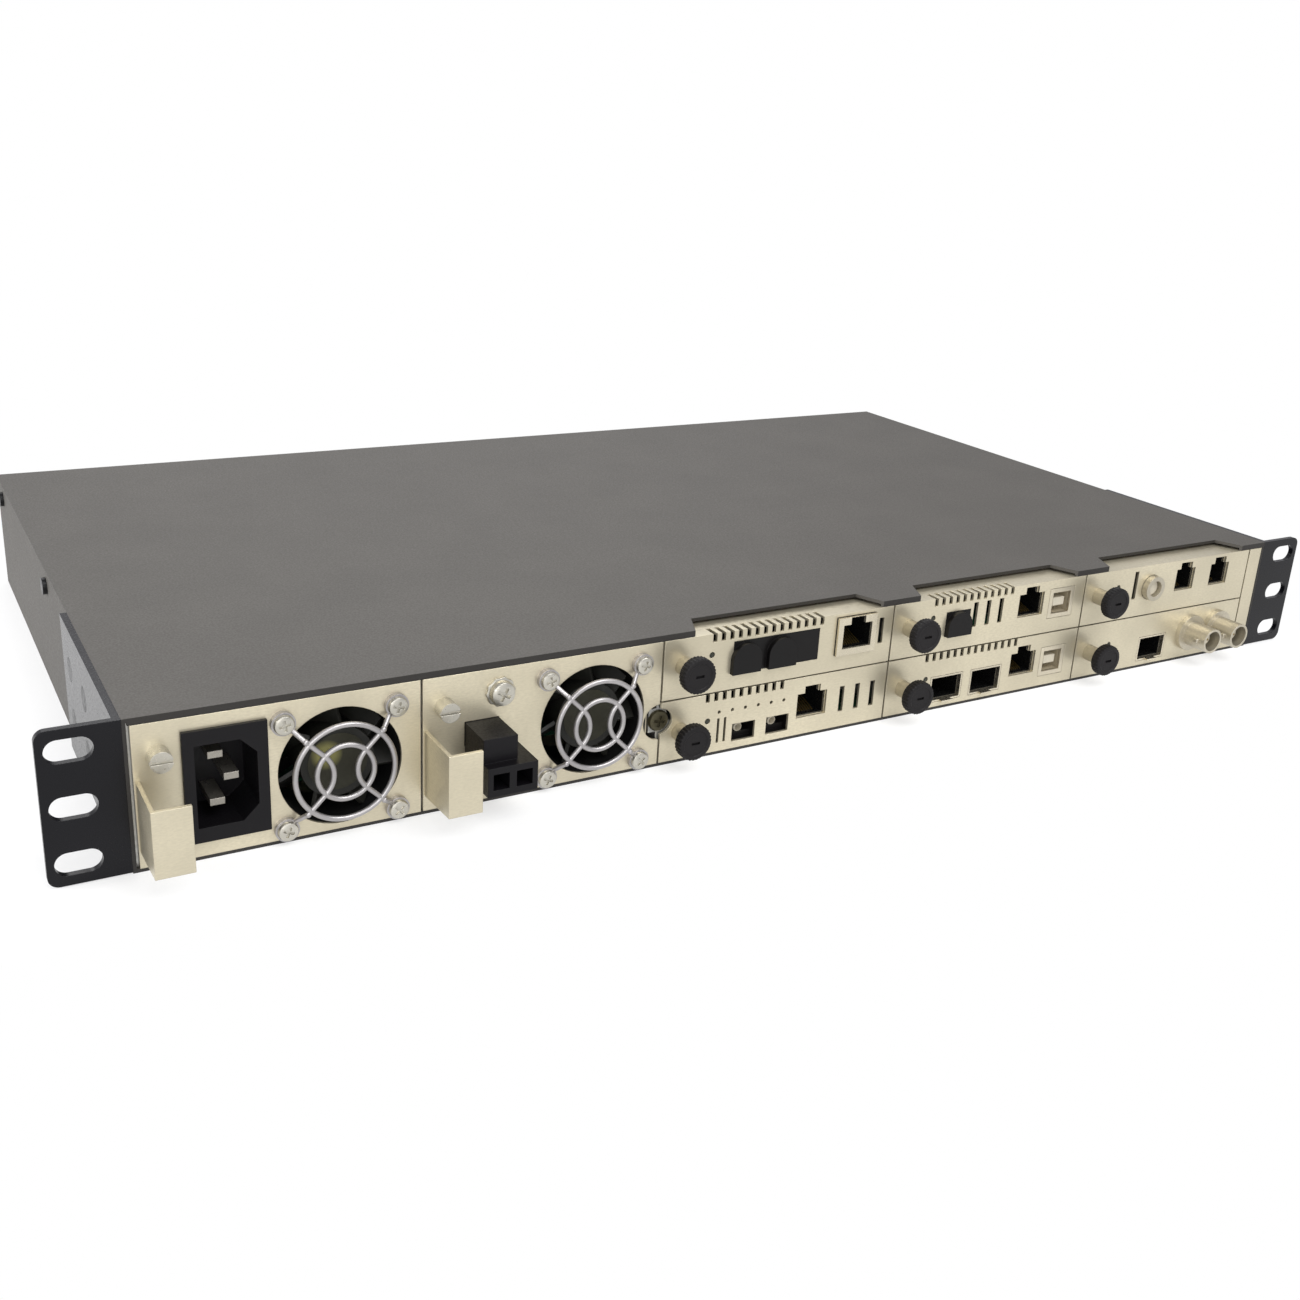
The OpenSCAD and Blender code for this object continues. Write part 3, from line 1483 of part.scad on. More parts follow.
module card_6_coax() {
    z0 = board_lower_z + board_t;
    zc = z0 + coax_body / 2;
    color(silver) for (i = [0, 1])
        difference() {
            union() {
                rod(six_coax_x + i * six_coax_pitch, zc, -coax_flange, 0, coax_r);
                rod(six_coax_x + i * six_coax_pitch, zc, -coax_proud, sheet_t + over, coax_lip_r);
                block([six_coax_x + i * six_coax_pitch - coax_body / 2, sheet_t, z0],
                      [six_coax_x + i * six_coax_pitch + coax_body / 2, coax_d, z0 + coax_body]);
            }
            rod(six_coax_x + i * six_coax_pitch, zc, -coax_proud - over, sheet_t, coax_in_r);
        }
}

module card_6_knob() {
    knob(card_x[2], knob_lower_z);
}

tray();
top_cover();
ear_left();
ear_right();
ear_screws();
cover_screws();
psu_dividers();
card_dividers();
end_divider();
card_guides();
backplane();
psu_ac_case();
psu_ac_handle();
psu_ac_screw();
psu_ac_inlet();
psu_ac_inlet_pins();
psu_ac_fan_frame();
psu_ac_fan_rotor();
psu_ac_fan_guard();
psu_ac_board();
psu_dc_case();
psu_dc_handle();
psu_dc_screw();
psu_dc_terminals();
psu_dc_fan_frame();
psu_dc_fan_rotor();
psu_dc_fan_guard();
psu_dc_board();
card_1_face();
card_1_board();
card_1_jack();
card_1_fibre();
card_1_knob();
card_2_face();
card_2_board();
card_2_jack();
card_2_bus_port();
card_2_fibre();
card_2_knob();
card_3_face();
card_3_board();
card_3_jacks();
card_3_ring();
card_3_knob();
card_4_face();
card_4_board();
card_4_jack();
card_4_fibre();
card_4_knob();
card_5_face();
card_5_board();
card_5_jack();
card_5_bus_port();
card_5_cages();
card_5_knob();
card_6_face();
card_6_board();
card_6_cage();
card_6_coax();
card_6_knob();
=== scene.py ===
import json
import math
import random

import bmesh
import bpy
from mathutils import Matrix, Vector


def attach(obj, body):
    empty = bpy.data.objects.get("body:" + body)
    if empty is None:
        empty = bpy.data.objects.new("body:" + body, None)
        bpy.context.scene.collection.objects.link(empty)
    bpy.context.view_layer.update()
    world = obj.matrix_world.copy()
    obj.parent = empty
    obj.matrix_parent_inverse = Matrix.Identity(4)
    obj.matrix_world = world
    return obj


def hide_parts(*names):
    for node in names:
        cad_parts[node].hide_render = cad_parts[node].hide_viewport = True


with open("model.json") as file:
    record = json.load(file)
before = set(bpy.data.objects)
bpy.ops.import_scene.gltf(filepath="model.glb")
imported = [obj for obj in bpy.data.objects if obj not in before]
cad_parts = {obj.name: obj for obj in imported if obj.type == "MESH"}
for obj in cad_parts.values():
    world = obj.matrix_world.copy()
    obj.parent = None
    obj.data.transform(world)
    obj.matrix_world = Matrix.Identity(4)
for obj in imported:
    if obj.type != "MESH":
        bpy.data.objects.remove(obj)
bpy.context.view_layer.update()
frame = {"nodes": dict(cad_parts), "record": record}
NODES = frame["nodes"]
MM = 0.001
rng = random.Random(7)

# Places and sizes in millimetres, the same as in the part's source.
CARD_X = [-60.0, 30.4, 120.8]
CARD_HALF = 45.2
PSU_X = {"psu_ac": -218.1, "psu_dc": -139.05}
SHEET_T = 1.0
BOARD_T = 1.6
BOARD_U, BOARD_L = 3.6, -19.2
BOARD_REAR = 200.0
KNOB_X, KNOB_U, KNOB_L = 7.5, 10.8, -11.7
KNOB_R, KNOB_NECK_R, KNOB_NECK, KNOB_LEN = 5.9, 3.0, 6.8, 3.4
KNOB_THREAD_R, KNOB_SHANK = 1.5, 7.6
LAMP_X, LAMP_U, LAMP_L = 17.9, 12.8, -10.1
FAN_X, FAN_Z, FAN_HALF = 55.3, -2.0, 16.0
ROTOR_FRONT = 3.0
MOUTH_LIFT = 2.4
RING_X, RING_IN_R = 156.6, 3.1
FIBRE_X, FIBRE_PITCH = -21.2, 13.4
COAX_X, COAX_PITCH, COAX_Z, COAX_PROUD, COAX_IN_R = 183.2, 15.3, -11.1, 12.0, 4.0
BUS_H, BUS_MOUTH = 11.3, 6.0
BODY_D = 258.0
FLOOR_Z = -22.4

# Places and sizes of what only the visual model has, in millimetres.
GUARD_SCREW_Y, GUARD_SCREW_R, GUARD_SCREW_H, GUARD_SCREW_SHANK = -1.6, 2.9, 1.4, (1.35, 9.0)
KNOB_SLOT_LEN, KNOB_SLOT_W, KNOB_SLOT_DEPTH, OVERRUN = 3.0, 0.9, 1.0, 0.6
SEAM_X, SEAM_Z, SEAM_Y, SEAM_SCREW_R, SEAM_SCREW_H = -60.0, -7.0, 1.59, 3.5, 1.5
SLEEVE_Z = -15.9
STUD_X, STUD_Z, STUD_R, STUD_H = -114.9, 12.5, 3.9, 2.4
CONTACT_PITCH, CONTACT_W, CONTACT_T, CONTACT_SLOPE = 1.02, 0.44, 0.3, 0.33
CONTACT_IN, CONTACT_LEN, CONTACT_LIFT = 3.0, 9.0, 1.45
TONGUE_W, TONGUE_H, TONGUE_IN, TONGUE_GAP = 5.6, 3.2, 0.3, 0.1
LUG, LUG_OUT, LUG_BACK = 1.8, 5.3, 2.4
CHIPS, CHIP_H, CHIP_PITCH, CHIP_Y, CHIP_STEP = 4, 1.6, 18, 62, 16
CHIP_DRIFT_X, CHIP_DRIFT_Y, CHIP_SIDE = 2, 3, (8, 13)
SMALL_PARTS, SMALL_W, SMALL_D, SMALL_H = 16, 2.0, 1.2, 0.7
SMALL_X, SMALL_SPREAD_X, SMALL_Y, SMALL_SPREAD_Y = 12, 66, 100, 70
CANS, CAN_R, CAN_H, CAN_X, CAN_PITCH, CAN_Y = 2, 3.1, 7.5, 24, 12, 120
PADS, PAD_PITCH, PAD_W, PAD_T, PAD_FRONT, PAD_BACK = 22, 2.4, 1.6, 0.06, 6.5, 0.3

# A pan head's profile, as shares of its radius and its height, and its cross recess, as a share of the
# radius and a share of the recess's own length.
HEAD_SHARES = [(1.0, 0.0), (1.0, 0.45), (0.9, 0.8), (0.7, 0.95), (0.3, 1.0)]
RECESS_SHARE, RECESS_WIDTH_SHARE = 1.1, 0.24
# The step along y, in millimetres, from the head's back face to the end of the shank's profile.
SHANK_STEP = 0.001

# Turned profiles: pairs of radius and y, in millimetres.
KNOB_FRONT = -KNOB_NECK - KNOB_LEN
KNOB_PROFILE = [
    (KNOB_THREAD_R, KNOB_SHANK), (KNOB_THREAD_R, 0.0), (KNOB_NECK_R, 0.0), (KNOB_NECK_R, 0.4 - KNOB_NECK),
    (KNOB_NECK_R + 0.4, -KNOB_NECK), (KNOB_R - 0.3, -KNOB_NECK), (KNOB_R, -KNOB_NECK - 0.3),
    (KNOB_R, KNOB_FRONT + 0.5), (KNOB_R - 0.4, KNOB_FRONT + 0.1), (KNOB_R - 0.8, KNOB_FRONT),
    (KNOB_R - 1.6, KNOB_FRONT), (KNOB_R - 1.8, KNOB_FRONT + 0.2),
]
HUB_PROFILE = [(8.6, ROTOR_FRONT - 0.01), (8.6, ROTOR_FRONT - 0.14), (8.3, ROTOR_FRONT - 0.16)]
WASHER_PROFILE = [(4.6, -0.01), (4.6, -0.7), (3.9, -0.9), (2.0, -0.9)]
LAMP_PROFILE = [(0.92, 3.0), (0.92, 0.5), (0.75, 0.2), (0.35, 0.05)]
RING_PROFILE = [(RING_IN_R - 0.05, 5.0), (RING_IN_R - 0.05, -0.4), (RING_IN_R - 0.5, -0.8), (1.2, -0.9)]
SLEEVE_PROFILE = [(1.6, 10.9), (1.6, 3.4), (1.3, 3.1), (1.2, 3.1), (1.2, 6.0)]
INSULATOR_PROFILE = [(COAX_IN_R - 0.05, 0.9), (COAX_IN_R - 0.05, -1.0), (2.3, -1.2), (2.3, -8.6),
                     (1.0, -8.6), (1.0, -4.0)]
PIN_PROFILE = [(0.5, -4.0), (0.5, -9.4), (0.2, -9.8)]
# The rings of a profile that carry teeth, and the scale of the radius between the teeth.
KNOB_TEETH = ((6, 7), 0.945)
WASHER_TEETH = ((0, 1), 0.93)
KNURLS = 30


# Material building blocks.
def new_material(name):
    m = bpy.data.materials.new(name)
    m.use_nodes = True
    m.node_tree.nodes.clear()
    return m, m.node_tree


def node(tree, kind, **values):
    n = tree.nodes.new(kind)
    for k, v in values.items():
        setattr(n, k, v)
    return n


def feed(tree, value, socket):
    """Links another node's output to a socket, or sets the socket to a constant."""
    if isinstance(value, bpy.types.NodeSocket):
        tree.links.new(value, socket)
    elif socket.type == "RGBA":
        socket.default_value = (*value, 1.0)
    else:
        socket.default_value = value


def feed_all(tree, target, **values):
    """Feeds sockets by their names, with underscores for the spaces."""
    for name, value in values.items():
        feed(tree, value, target.inputs[name.replace("_", " ")])


def math_node(tree, operation, *values):
    n = node(tree, "ShaderNodeMath", operation=operation)
    for socket, value in zip(n.inputs, values):
        feed(tree, value, socket)
    return n.outputs[0]


def noise(tree, vec, scale, detail=3.0, rough=0.55, stretch=None):
    if stretch:
        mapping = node(tree, "ShaderNodeMapping")
        feed_all(tree, mapping, Scale=stretch, Vector=vec)
        vec = mapping.outputs["Vector"]
    n = node(tree, "ShaderNodeTexNoise")
    feed_all(tree, n, Scale=scale, Detail=detail, Roughness=rough, Vector=vec)
    return n.outputs["Fac"]


def ramp(tree, value, low, high, start=0.35, end=0.65):
    """Goes from low to high while the value goes from start to end."""
    r = node(tree, "ShaderNodeMapRange")
    feed_all(tree, r, Value=value, From_Min=start, From_Max=end, To_Min=low, To_Max=high)
    return r.outputs["Result"]


def mix(tree, share, a, b):
    m = node(tree, "ShaderNodeMix", data_type="RGBA")
    for index, value in ((0, share), (6, a), (7, b)):
        feed(tree, value, m.inputs[index])
    return m.outputs[2]


def axis_value(tree, vec, axis):
    s = node(tree, "ShaderNodeSeparateXYZ")
    feed(tree, vec, s.inputs[0])
    return s.outputs[axis]


X_AXIS, Y_AXIS = 0, 1
# In millimetres: the grain's height, and the run in which the look of what lies behind takes over.
BUMP_HEIGHT, BEHIND_RUN = 0.05, 0.4
# The painted shade on faces that look forward comes in while a face's normal turns from the first y
# to the second.
FRONT_SHADE_FROM, FRONT_SHADE_TO = -0.6, -0.8
# The painted pool of light fades out between its radius and this share of it, with a ragged edge.
FADE_SHARE = 1.5


def surface(name, base, rough, metallic=0.0, vary=0.12, grain=900.0, bump=0.12, coarse=35.0, stretch=None,
            edge=0.25, rough_vary=0.08, spec=0.5, coat=0.0, behind=None, lip=None, patch=None):
    """A node material: colour drift, fine grain in colour, roughness and bump, and rounded edges.

    behind is (y in millimetres, colour, metalness) for what lies behind that y. lip is painted shade
    on the faces that look forward. patch is a painted pool of light (place in millimetres, radius,
    colour).
    """
    m, t = new_material(name)
    coords = node(t, "ShaderNodeTexCoord")
    place = coords.outputs["Object"]
    big = noise(t, place, coarse, 4.0)
    fine = noise(t, place, grain, 2.0, 0.6, stretch)
    dark, light = (tuple(c * k for c in base) for k in (1 - vary, 1 + vary))
    colour = mix(t, ramp(t, big, 0.0, 1.0), dark, light)
    colour = mix(t, ramp(t, fine, 0.0, 0.5), colour, dark)
    metal = metallic
    # Painted shade: faces that look forward take a darker colour.
    if lip:
        forward = ramp(t, axis_value(t, coords.outputs["Normal"], Y_AXIS), 0.0, 1.0, FRONT_SHADE_FROM, FRONT_SHADE_TO)
        colour = mix(t, forward, colour, lip)
    # Painted light: a lighter spot, as if light fell on the surface there.
    if patch:
        centre, radius, lit_colour = patch
        away = node(t, "ShaderNodeVectorMath", operation="DISTANCE")
        feed(t, place, away.inputs[0])
        feed(t, [v * MM for v in centre], away.inputs[1])
        reach = math_node(t, "ADD", away.outputs["Value"], math_node(t, "MULTIPLY", big, radius * MM))
        fade = ramp(t, reach, 1.0, 0.0, radius * MM, FADE_SHARE * radius * MM)
        colour = mix(t, fade, colour, lit_colour)
    if behind:
        start, colour_there, metal_there = behind
        y = axis_value(t, place, Y_AXIS)
        span = (start * MM, (start + BEHIND_RUN) * MM)
        colour = mix(t, ramp(t, y, 0.0, 1.0, *span), colour, colour_there)
        metal = ramp(t, y, metallic, metal_there, *span)

    bevel = node(t, "ShaderNodeBevel", samples=4)
    feed_all(t, bevel, Radius=edge * MM)
    dents = node(t, "ShaderNodeBump")
    feed_all(t, dents, Strength=bump, Distance=BUMP_HEIGHT * MM, Height=fine,
             Normal=bevel.outputs["Normal"])
    bsdf = node(t, "ShaderNodeBsdfPrincipled")
    feed_all(t, bsdf, Base_Color=colour, Metallic=metal, Specular_IOR_Level=spec, Coat_Weight=coat,
             Roughness=ramp(t, fine, rough - rough_vary, rough + rough_vary),
             Normal=dents.outputs["Normal"])
    feed(t, bsdf.outputs[0], node(t, "ShaderNodeOutputMaterial").inputs[0])
    return m


# The looks: colour, roughness, metalness, and what differs from a plain surface.
SHELL = (0.66, 0.60, 0.47)
NICKEL = (0.42, 0.38, 0.29)
HOLLOW = (0.004, 0.004, 0.004)
HOUSING = (0.34, 0.29, 0.20)
BLACK = dict(vary=0.2, grain=1500, bump=0.25, spec=0.2)
BRIGHT = dict(grain=900, edge=0.2)
LOOKS = {
    # The chassis paint is darker on its faces that look forward: painted shade.
    "chassis_paint": ((0.068, 0.063, 0.056), 0.6, 0.0,
                      dict(vary=0.06, grain=1600, bump=0.3, spec=0.3, lip=(0.022, 0.02, 0.018))),
    "ear_paint": ((0.004, 0.004, 0.0055), 0.24, 0.0,
                  dict(vary=0.15, grain=1400, bump=0.1, edge=0.3, spec=0.22, rough_vary=0.04)),
    "black_screw": ((0.012, 0.012, 0.013), 0.35, 0.3, dict(spec=0.3)),
    "plated_sheet": ((0.60, 0.545, 0.41), 0.36, 0.75,
                     dict(vary=0.14, grain=700, coarse=20, stretch=(1.0, 1.0, 3.0), bump=0.02, edge=0.3,
                          rough_vary=0.06)),
    "zinc_sheet": ((0.50, 0.50, 0.48), 0.4, 0.9, dict(stretch=(1.0, 4.0, 1.0))),
    "steel_screw": ((0.52, 0.50, 0.44), 0.35, 0.9, dict(grain=1200, edge=0.2)),
    "guide_plastic": ((0.62, 0.60, 0.52), 0.5, 0.0, dict(grain=800)),
    "board_green": ((0.015, 0.08, 0.04), 0.35, 0.0, dict(vary=0.2, grain=500, coat=0.3)),
    "black_plastic": ((0.004, 0.0035, 0.0045), 0.42, 0.0, BLACK),
    "pin_metal": ((0.34, 0.32, 0.28), 0.35, 0.9, dict(grain=1000)),
    "fan_black": ((0.006, 0.006, 0.006), 0.5, 0.0, dict(vary=0.2, grain=1200, bump=0.25, spec=0.25)),
    "rotor_plastic": ((0.010, 0.010, 0.008), 0.42, 0.0, dict(vary=0.2, grain=1200, bump=0.2, spec=0.3)),
    "guard_wire": ((0.40, 0.385, 0.385), 0.38, 0.85, dict(grain=900, edge=0.15)),
    "jack_shell": (SHELL, 0.3, 0.95, dict(BRIGHT, behind=(1.6, HOLLOW, 0.0))),
    "knob_black": ((0.008, 0.007, 0.0075), 0.5, 0.0,
                   dict(BLACK, edge=0.15, behind=(-KNOB_NECK, NICKEL, 0.8))),
    "port_black": ((0.004, 0.0035, 0.0035), 0.4, 0.0, BLACK),
    "coax_metal": ((0.50, 0.46, 0.37), 0.42, 0.85, dict(grain=1400, edge=0.2, bump=0.05)),
    "proud_shell": (SHELL, 0.3, 0.95, dict(BRIGHT, behind=(-0.6, HOLLOW, 0.0))),
    "bus_shell": (SHELL, 0.4, 0.9, dict(BRIGHT, behind=(1.2, HOUSING, 0.0))),
    "contact_gold": ((0.20, 0.14, 0.05), 0.35, 0.9, dict(grain=1500, edge=0.05)),
    "ivory_insulator": ((0.48, 0.44, 0.35), 0.45, 0.0, dict(grain=1200, edge=0.1)),
    "chip_black": ((0.010, 0.010, 0.010), 0.45, 0.0, dict(grain=1500, edge=0.1, spec=0.3)),
    # The hub disc has a painted pool of light on the first fan's hub, at its upper left.
    "hub_disc": ((0.020, 0.019, 0.010), 0.5, 0.0,
                 dict(vary=0.25, grain=900, edge=0.1, spec=0.3,
                      patch=((-166.2, 2.9, 0.6), 4.6, (0.16, 0.15, 0.05)))),
    "lamp_lens": ((0.016, 0.018, 0.009), 0.2, 0.0, dict(grain=900, edge=0.1, coat=0.3, spec=0.3)),
    # Dark olive: painted shade of the recess that the seam screw sits in.
    "olive_screw": ((0.07, 0.062, 0.035), 0.4, 0.7, dict(grain=1200, edge=0.2)),
    "can_alu": ((0.70, 0.70, 0.70), 0.3, 0.95, BRIGHT),
}
M = {name: surface(name, *values[:3], **values[3]) for name, values in LOOKS.items()}

# The CAD pieces have the look that the record names, but for four that differ in a detail.
for item in frame["record"]["subparts"]:
    obj = NODES[item["node"]]
    obj.data.materials.clear()
    obj.data.materials.append(M[item["material_slot"]])
for name, look in (("card_1_jack", "proud_shell"), ("card_2_bus_port", "bus_shell"),
                   ("card_5_bus_port", "bus_shell"), ("cover_screws", "black_screw")):
    NODES[name].data.materials[0] = M[look]


# Mesh helpers. Every length they take is in millimetres.
SMOOTH_ANGLE = math.radians(35)
BEVEL_ANGLE = math.radians(40)


def add(name, bm, material, body, bevel=0.0):
    """Makes a piece of a built mesh with the given look. It rides on a body."""
    mesh = bpy.data.meshes.new(name)
    bmesh.ops.recalc_face_normals(bm, faces=bm.faces)
    bm.to_mesh(mesh)
    bm.free()
    mesh.materials.append(M[material])
    mesh.shade_smooth()
    mesh.set_sharp_from_angle(angle=SMOOTH_ANGLE)
    obj = bpy.data.objects.new(name, mesh)
    bpy.context.scene.collection.objects.link(obj)
    if bevel:
        b = obj.modifiers.new("bevel", "BEVEL")
        b.width = bevel * MM
        b.segments = 2
        b.limit_method = "ANGLE"
        b.angle_limit = BEVEL_ANGLE
    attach(obj, body)
    return obj


def add_box(bm, lo, hi, slope=0.0):
    """A box between two corners, tilted about the X axis through its middle."""
    centre = [(a + b) / 2 * MM for a, b in zip(lo, hi)]
    size = [(b - a) * MM for a, b in zip(lo, hi)]
    tilt = Matrix.Translation(centre) @ Matrix.Rotation(slope, 4, "X")
    bmesh.ops.create_cube(bm, size=1.0, matrix=tilt @ Matrix.Diagonal((*size, 1.0)))


def lathe(bm, x, z, profile, n=40, teeth=((), 1.0)):
    """Turns a profile about the Y axis through x, z. teeth is (toothed rings, the gaps' scale)."""
    toothed, gap_scale = teeth
    rings = []
    for j, (r, y) in enumerate(profile):
        ring = []
        for i in range(n):
            a = 2 * math.pi * i / n
            rr = r * gap_scale if j in toothed and i % 4 > 1 else r
            ring.append(bm.verts.new(((x + rr * math.cos(a)) * MM, y * MM, (z + rr * math.sin(a)) * MM)))
        rings.append(ring)
    for a, b in zip(rings, rings[1:]):
        for i in range(n):
            k = (i + 1) % n
            bm.faces.new((a[i], a[k], b[k], b[i]))
    bm.faces.new(rings[0])
    bm.faces.new(rings[-1])


def turned(name, x, z, profile, n, material, body, teeth=((), 1.0)):
    bm = bmesh.new()
    lathe(bm, x, z, profile, n, teeth)
    return add(name, bm, material, body)


def cut(obj, cutters):
    """Takes boxes (centre, size, turn about Y) out of a mesh."""
    bm = bmesh.new()
    for c, s, a in cutters:
        m = (Matrix.Translation([v * MM for v in c]) @ Matrix.Rotation(a, 4, "Y")
             @ Matrix.Diagonal((*[v * MM for v in s], 1.0)))
        bmesh.ops.create_cube(bm, size=1.0, matrix=m)
    mesh = bpy.data.meshes.new("cutter")
    bm.to_mesh(mesh)
    bm.free()
    tool = bpy.data.objects.new("cutter", mesh)
    bpy.context.scene.collection.objects.link(tool)
    mod = obj.modifiers.new("cut", "BOOLEAN")
    mod.object = tool
    mod.solver = "EXACT"
    mod.use_self = True
    bpy.context.view_layer.update()
    done = bpy.data.meshes.new_from_object(obj.evaluated_get(bpy.context.evaluated_depsgraph_get()))
    obj.modifiers.clear()
    obj.data = done
    done.shade_smooth()
    done.set_sharp_from_angle(angle=SMOOTH_ANGLE)
    bpy.data.objects.remove(tool)


def pan_head(name, x, z, y0, r, h, body, turn, material="steel_screw", shank=None):
    """A pan-head screw with a cross recess. Its head's back face lies at y0, and it points along +Y."""
    profile = [(out * r, y0 - up * h) for out, up in HEAD_SHARES]
    if shank:
        shank_r, shank_len = shank
        profile = [(shank_r, y0 + shank_len), (shank_r, y0 + SHANK_STEP)] + profile
    screw = turned(name, x, z, profile, 32, material, body)
    place, length = (x, y0 - h, z), RECESS_SHARE * r
    width = length * RECESS_WIDTH_SHARE
    cut(screw, [(place, (length, h, width), turn), (place, (width, h, length), turn)])


# Fans: the guard's four screws and the hub's disc.
for tag, x in PSU_X.items():
    cx = x + FAN_X
    for i, (sx, sz) in enumerate([(-1, -1), (-1, 1), (1, -1), (1, 1)]):
        pan_head(f"{tag}_guard_screw_{i}", cx + FAN_HALF * sx, FAN_Z + FAN_HALF * sz, GUARD_SCREW_Y,
                 GUARD_SCREW_R, GUARD_SCREW_H, tag, turn=0.4 + i, shank=GUARD_SCREW_SHANK)
    turned(f"{tag}_hub_disc", cx, FAN_Z, HUB_PROFILE, 40, "hub_disc", tag + "_rotor")

# Thumbscrews: a knurled disc on a neck, with a screwdriver slot in its front.
for i in range(6):
    x, z = CARD_X[i % 3] + KNOB_X, (KNOB_U if i < 3 else KNOB_L)
    o = turned(f"thumbscrew_{i + 1}", x, z, KNOB_PROFILE, KNURLS * 4, "knob_black", f"card_{i + 1}_knob",
               KNOB_TEETH)
    cut(o, [((x, KNOB_FRONT + (KNOB_SLOT_DEPTH - OVERRUN) / 2, z),
             (KNOB_SLOT_LEN, KNOB_SLOT_DEPTH + OVERRUN, KNOB_SLOT_W), 0.0)])
    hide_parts(f"card_{i + 1}_knob")

# The seam screw between the supplies and the cards, and the ground stud with its toothed washer.
# The seam screw's dark olive colour is painted shade of its recess.
pan_head("seam_screw", SEAM_X, SEAM_Z, SEAM_Y, SEAM_SCREW_R, SEAM_SCREW_H, "chassis", turn=0.2,
         material="olive_screw")
turned("psu_dc_stud_washer", STUD_X, STUD_Z, WASHER_PROFILE, 40, "steel_screw", "psu_dc",
       WASHER_TEETH)
pan_head("psu_dc_stud", STUD_X, STUD_Z, WASHER_PROFILE[-1][1], STUD_R, STUD_H, "psu_dc", turn=0.5)

# Jack contacts: eight sloping springs in each wide mouth, six in each narrow one.
# Each jack has its card, its middle, its board's height, its front and its contacts' number.
JACKS = [(1, 14.5, BOARD_U, -1.2, 8), (2, 94.3, BOARD_U, SHEET_T, 8), (3, 175.3, BOARD_U, SHEET_T, 6),
         (3, 194.7, BOARD_U, SHEET_T, 6), (4, -0.9, BOARD_L, SHEET_T, 8), (5, 94.3, BOARD_L, SHEET_T, 8)]
for k, (card, x, bz, front, count) in enumerate(JACKS):
    y0 = front + CONTACT_IN
    z0 = bz + BOARD_T + MOUTH_LIFT + CONTACT_LIFT
    bm = bmesh.new()
    for i in range(count):
        x0 = x + (i - (count - 1) / 2) * CONTACT_PITCH - CONTACT_W / 2
        add_box(bm, (x0, y0, z0), (x0 + CONTACT_W, y0 + CONTACT_LEN, z0 + CONTACT_T), CONTACT_SLOPE)
    add(f"card_{card}_contacts_{k}", bm, "contact_gold", f"card_{card}")

# Lamps.
for i in range(6):
    turned(f"card_{i + 1}_lamp", CARD_X[i % 3] + LAMP_X, (LAMP_U if i < 3 else LAMP_L), LAMP_PROFILE, 20,
           "lamp_lens", f"card_{i + 1}")

# Serial bus tongues.
for card, x, bz in ((2, 109.3, BOARD_U), (5, 109.1, BOARD_L)):
    zc = bz + BOARD_T + BUS_H / 2
    bm = bmesh.new()
    add_box(bm, (x - TONGUE_W / 2, SHEET_T + TONGUE_IN, zc - TONGUE_H / 2),
            (x + TONGUE_W / 2, SHEET_T + BUS_MOUTH - TONGUE_GAP, zc + TONGUE_H / 2))
    add(f"card_{card}_bus_tongue", bm, "ivory_insulator", f"card_{card}", bevel=0.2)

# The ring connector's light core, and the fibre sleeves.
turned("card_3_ring_core", RING_X, KNOB_U, RING_PROFILE, 32, "ivory_insulator", "card_3")
for s, side in ((-1, "l"), (1, "r")):
    turned(f"card_4_sleeve_{side}", FIBRE_X + s * FIBRE_PITCH / 2, SLEEVE_Z, SLEEVE_PROFILE, 24,
           "ivory_insulator", "card_4")

# Coaxial barrels: an insulator, a centre pin and two bayonet lugs each.
for k in (0, 1):
    x = COAX_X + COAX_PITCH * k
    turned(f"card_6_insulator_{k}", x, COAX_Z, INSULATOR_PROFILE, 32, "ivory_insulator", "card_6")
    turned(f"card_6_pin_{k}", x, COAX_Z, PIN_PROFILE, 16, "contact_gold", "card_6")
    bm = bmesh.new()
    for s in (-1, 1):
        x0, y0, z0 = x + s * LUG_OUT - LUG / 2, LUG_BACK - COAX_PROUD, COAX_Z - LUG / 2
        add_box(bm, (x0, y0, z0), (x0 + LUG, y0 + LUG, z0 + LUG))
    add(f"card_6_lugs_{k}", bm, "coax_metal", "card_6", bevel=0.3)

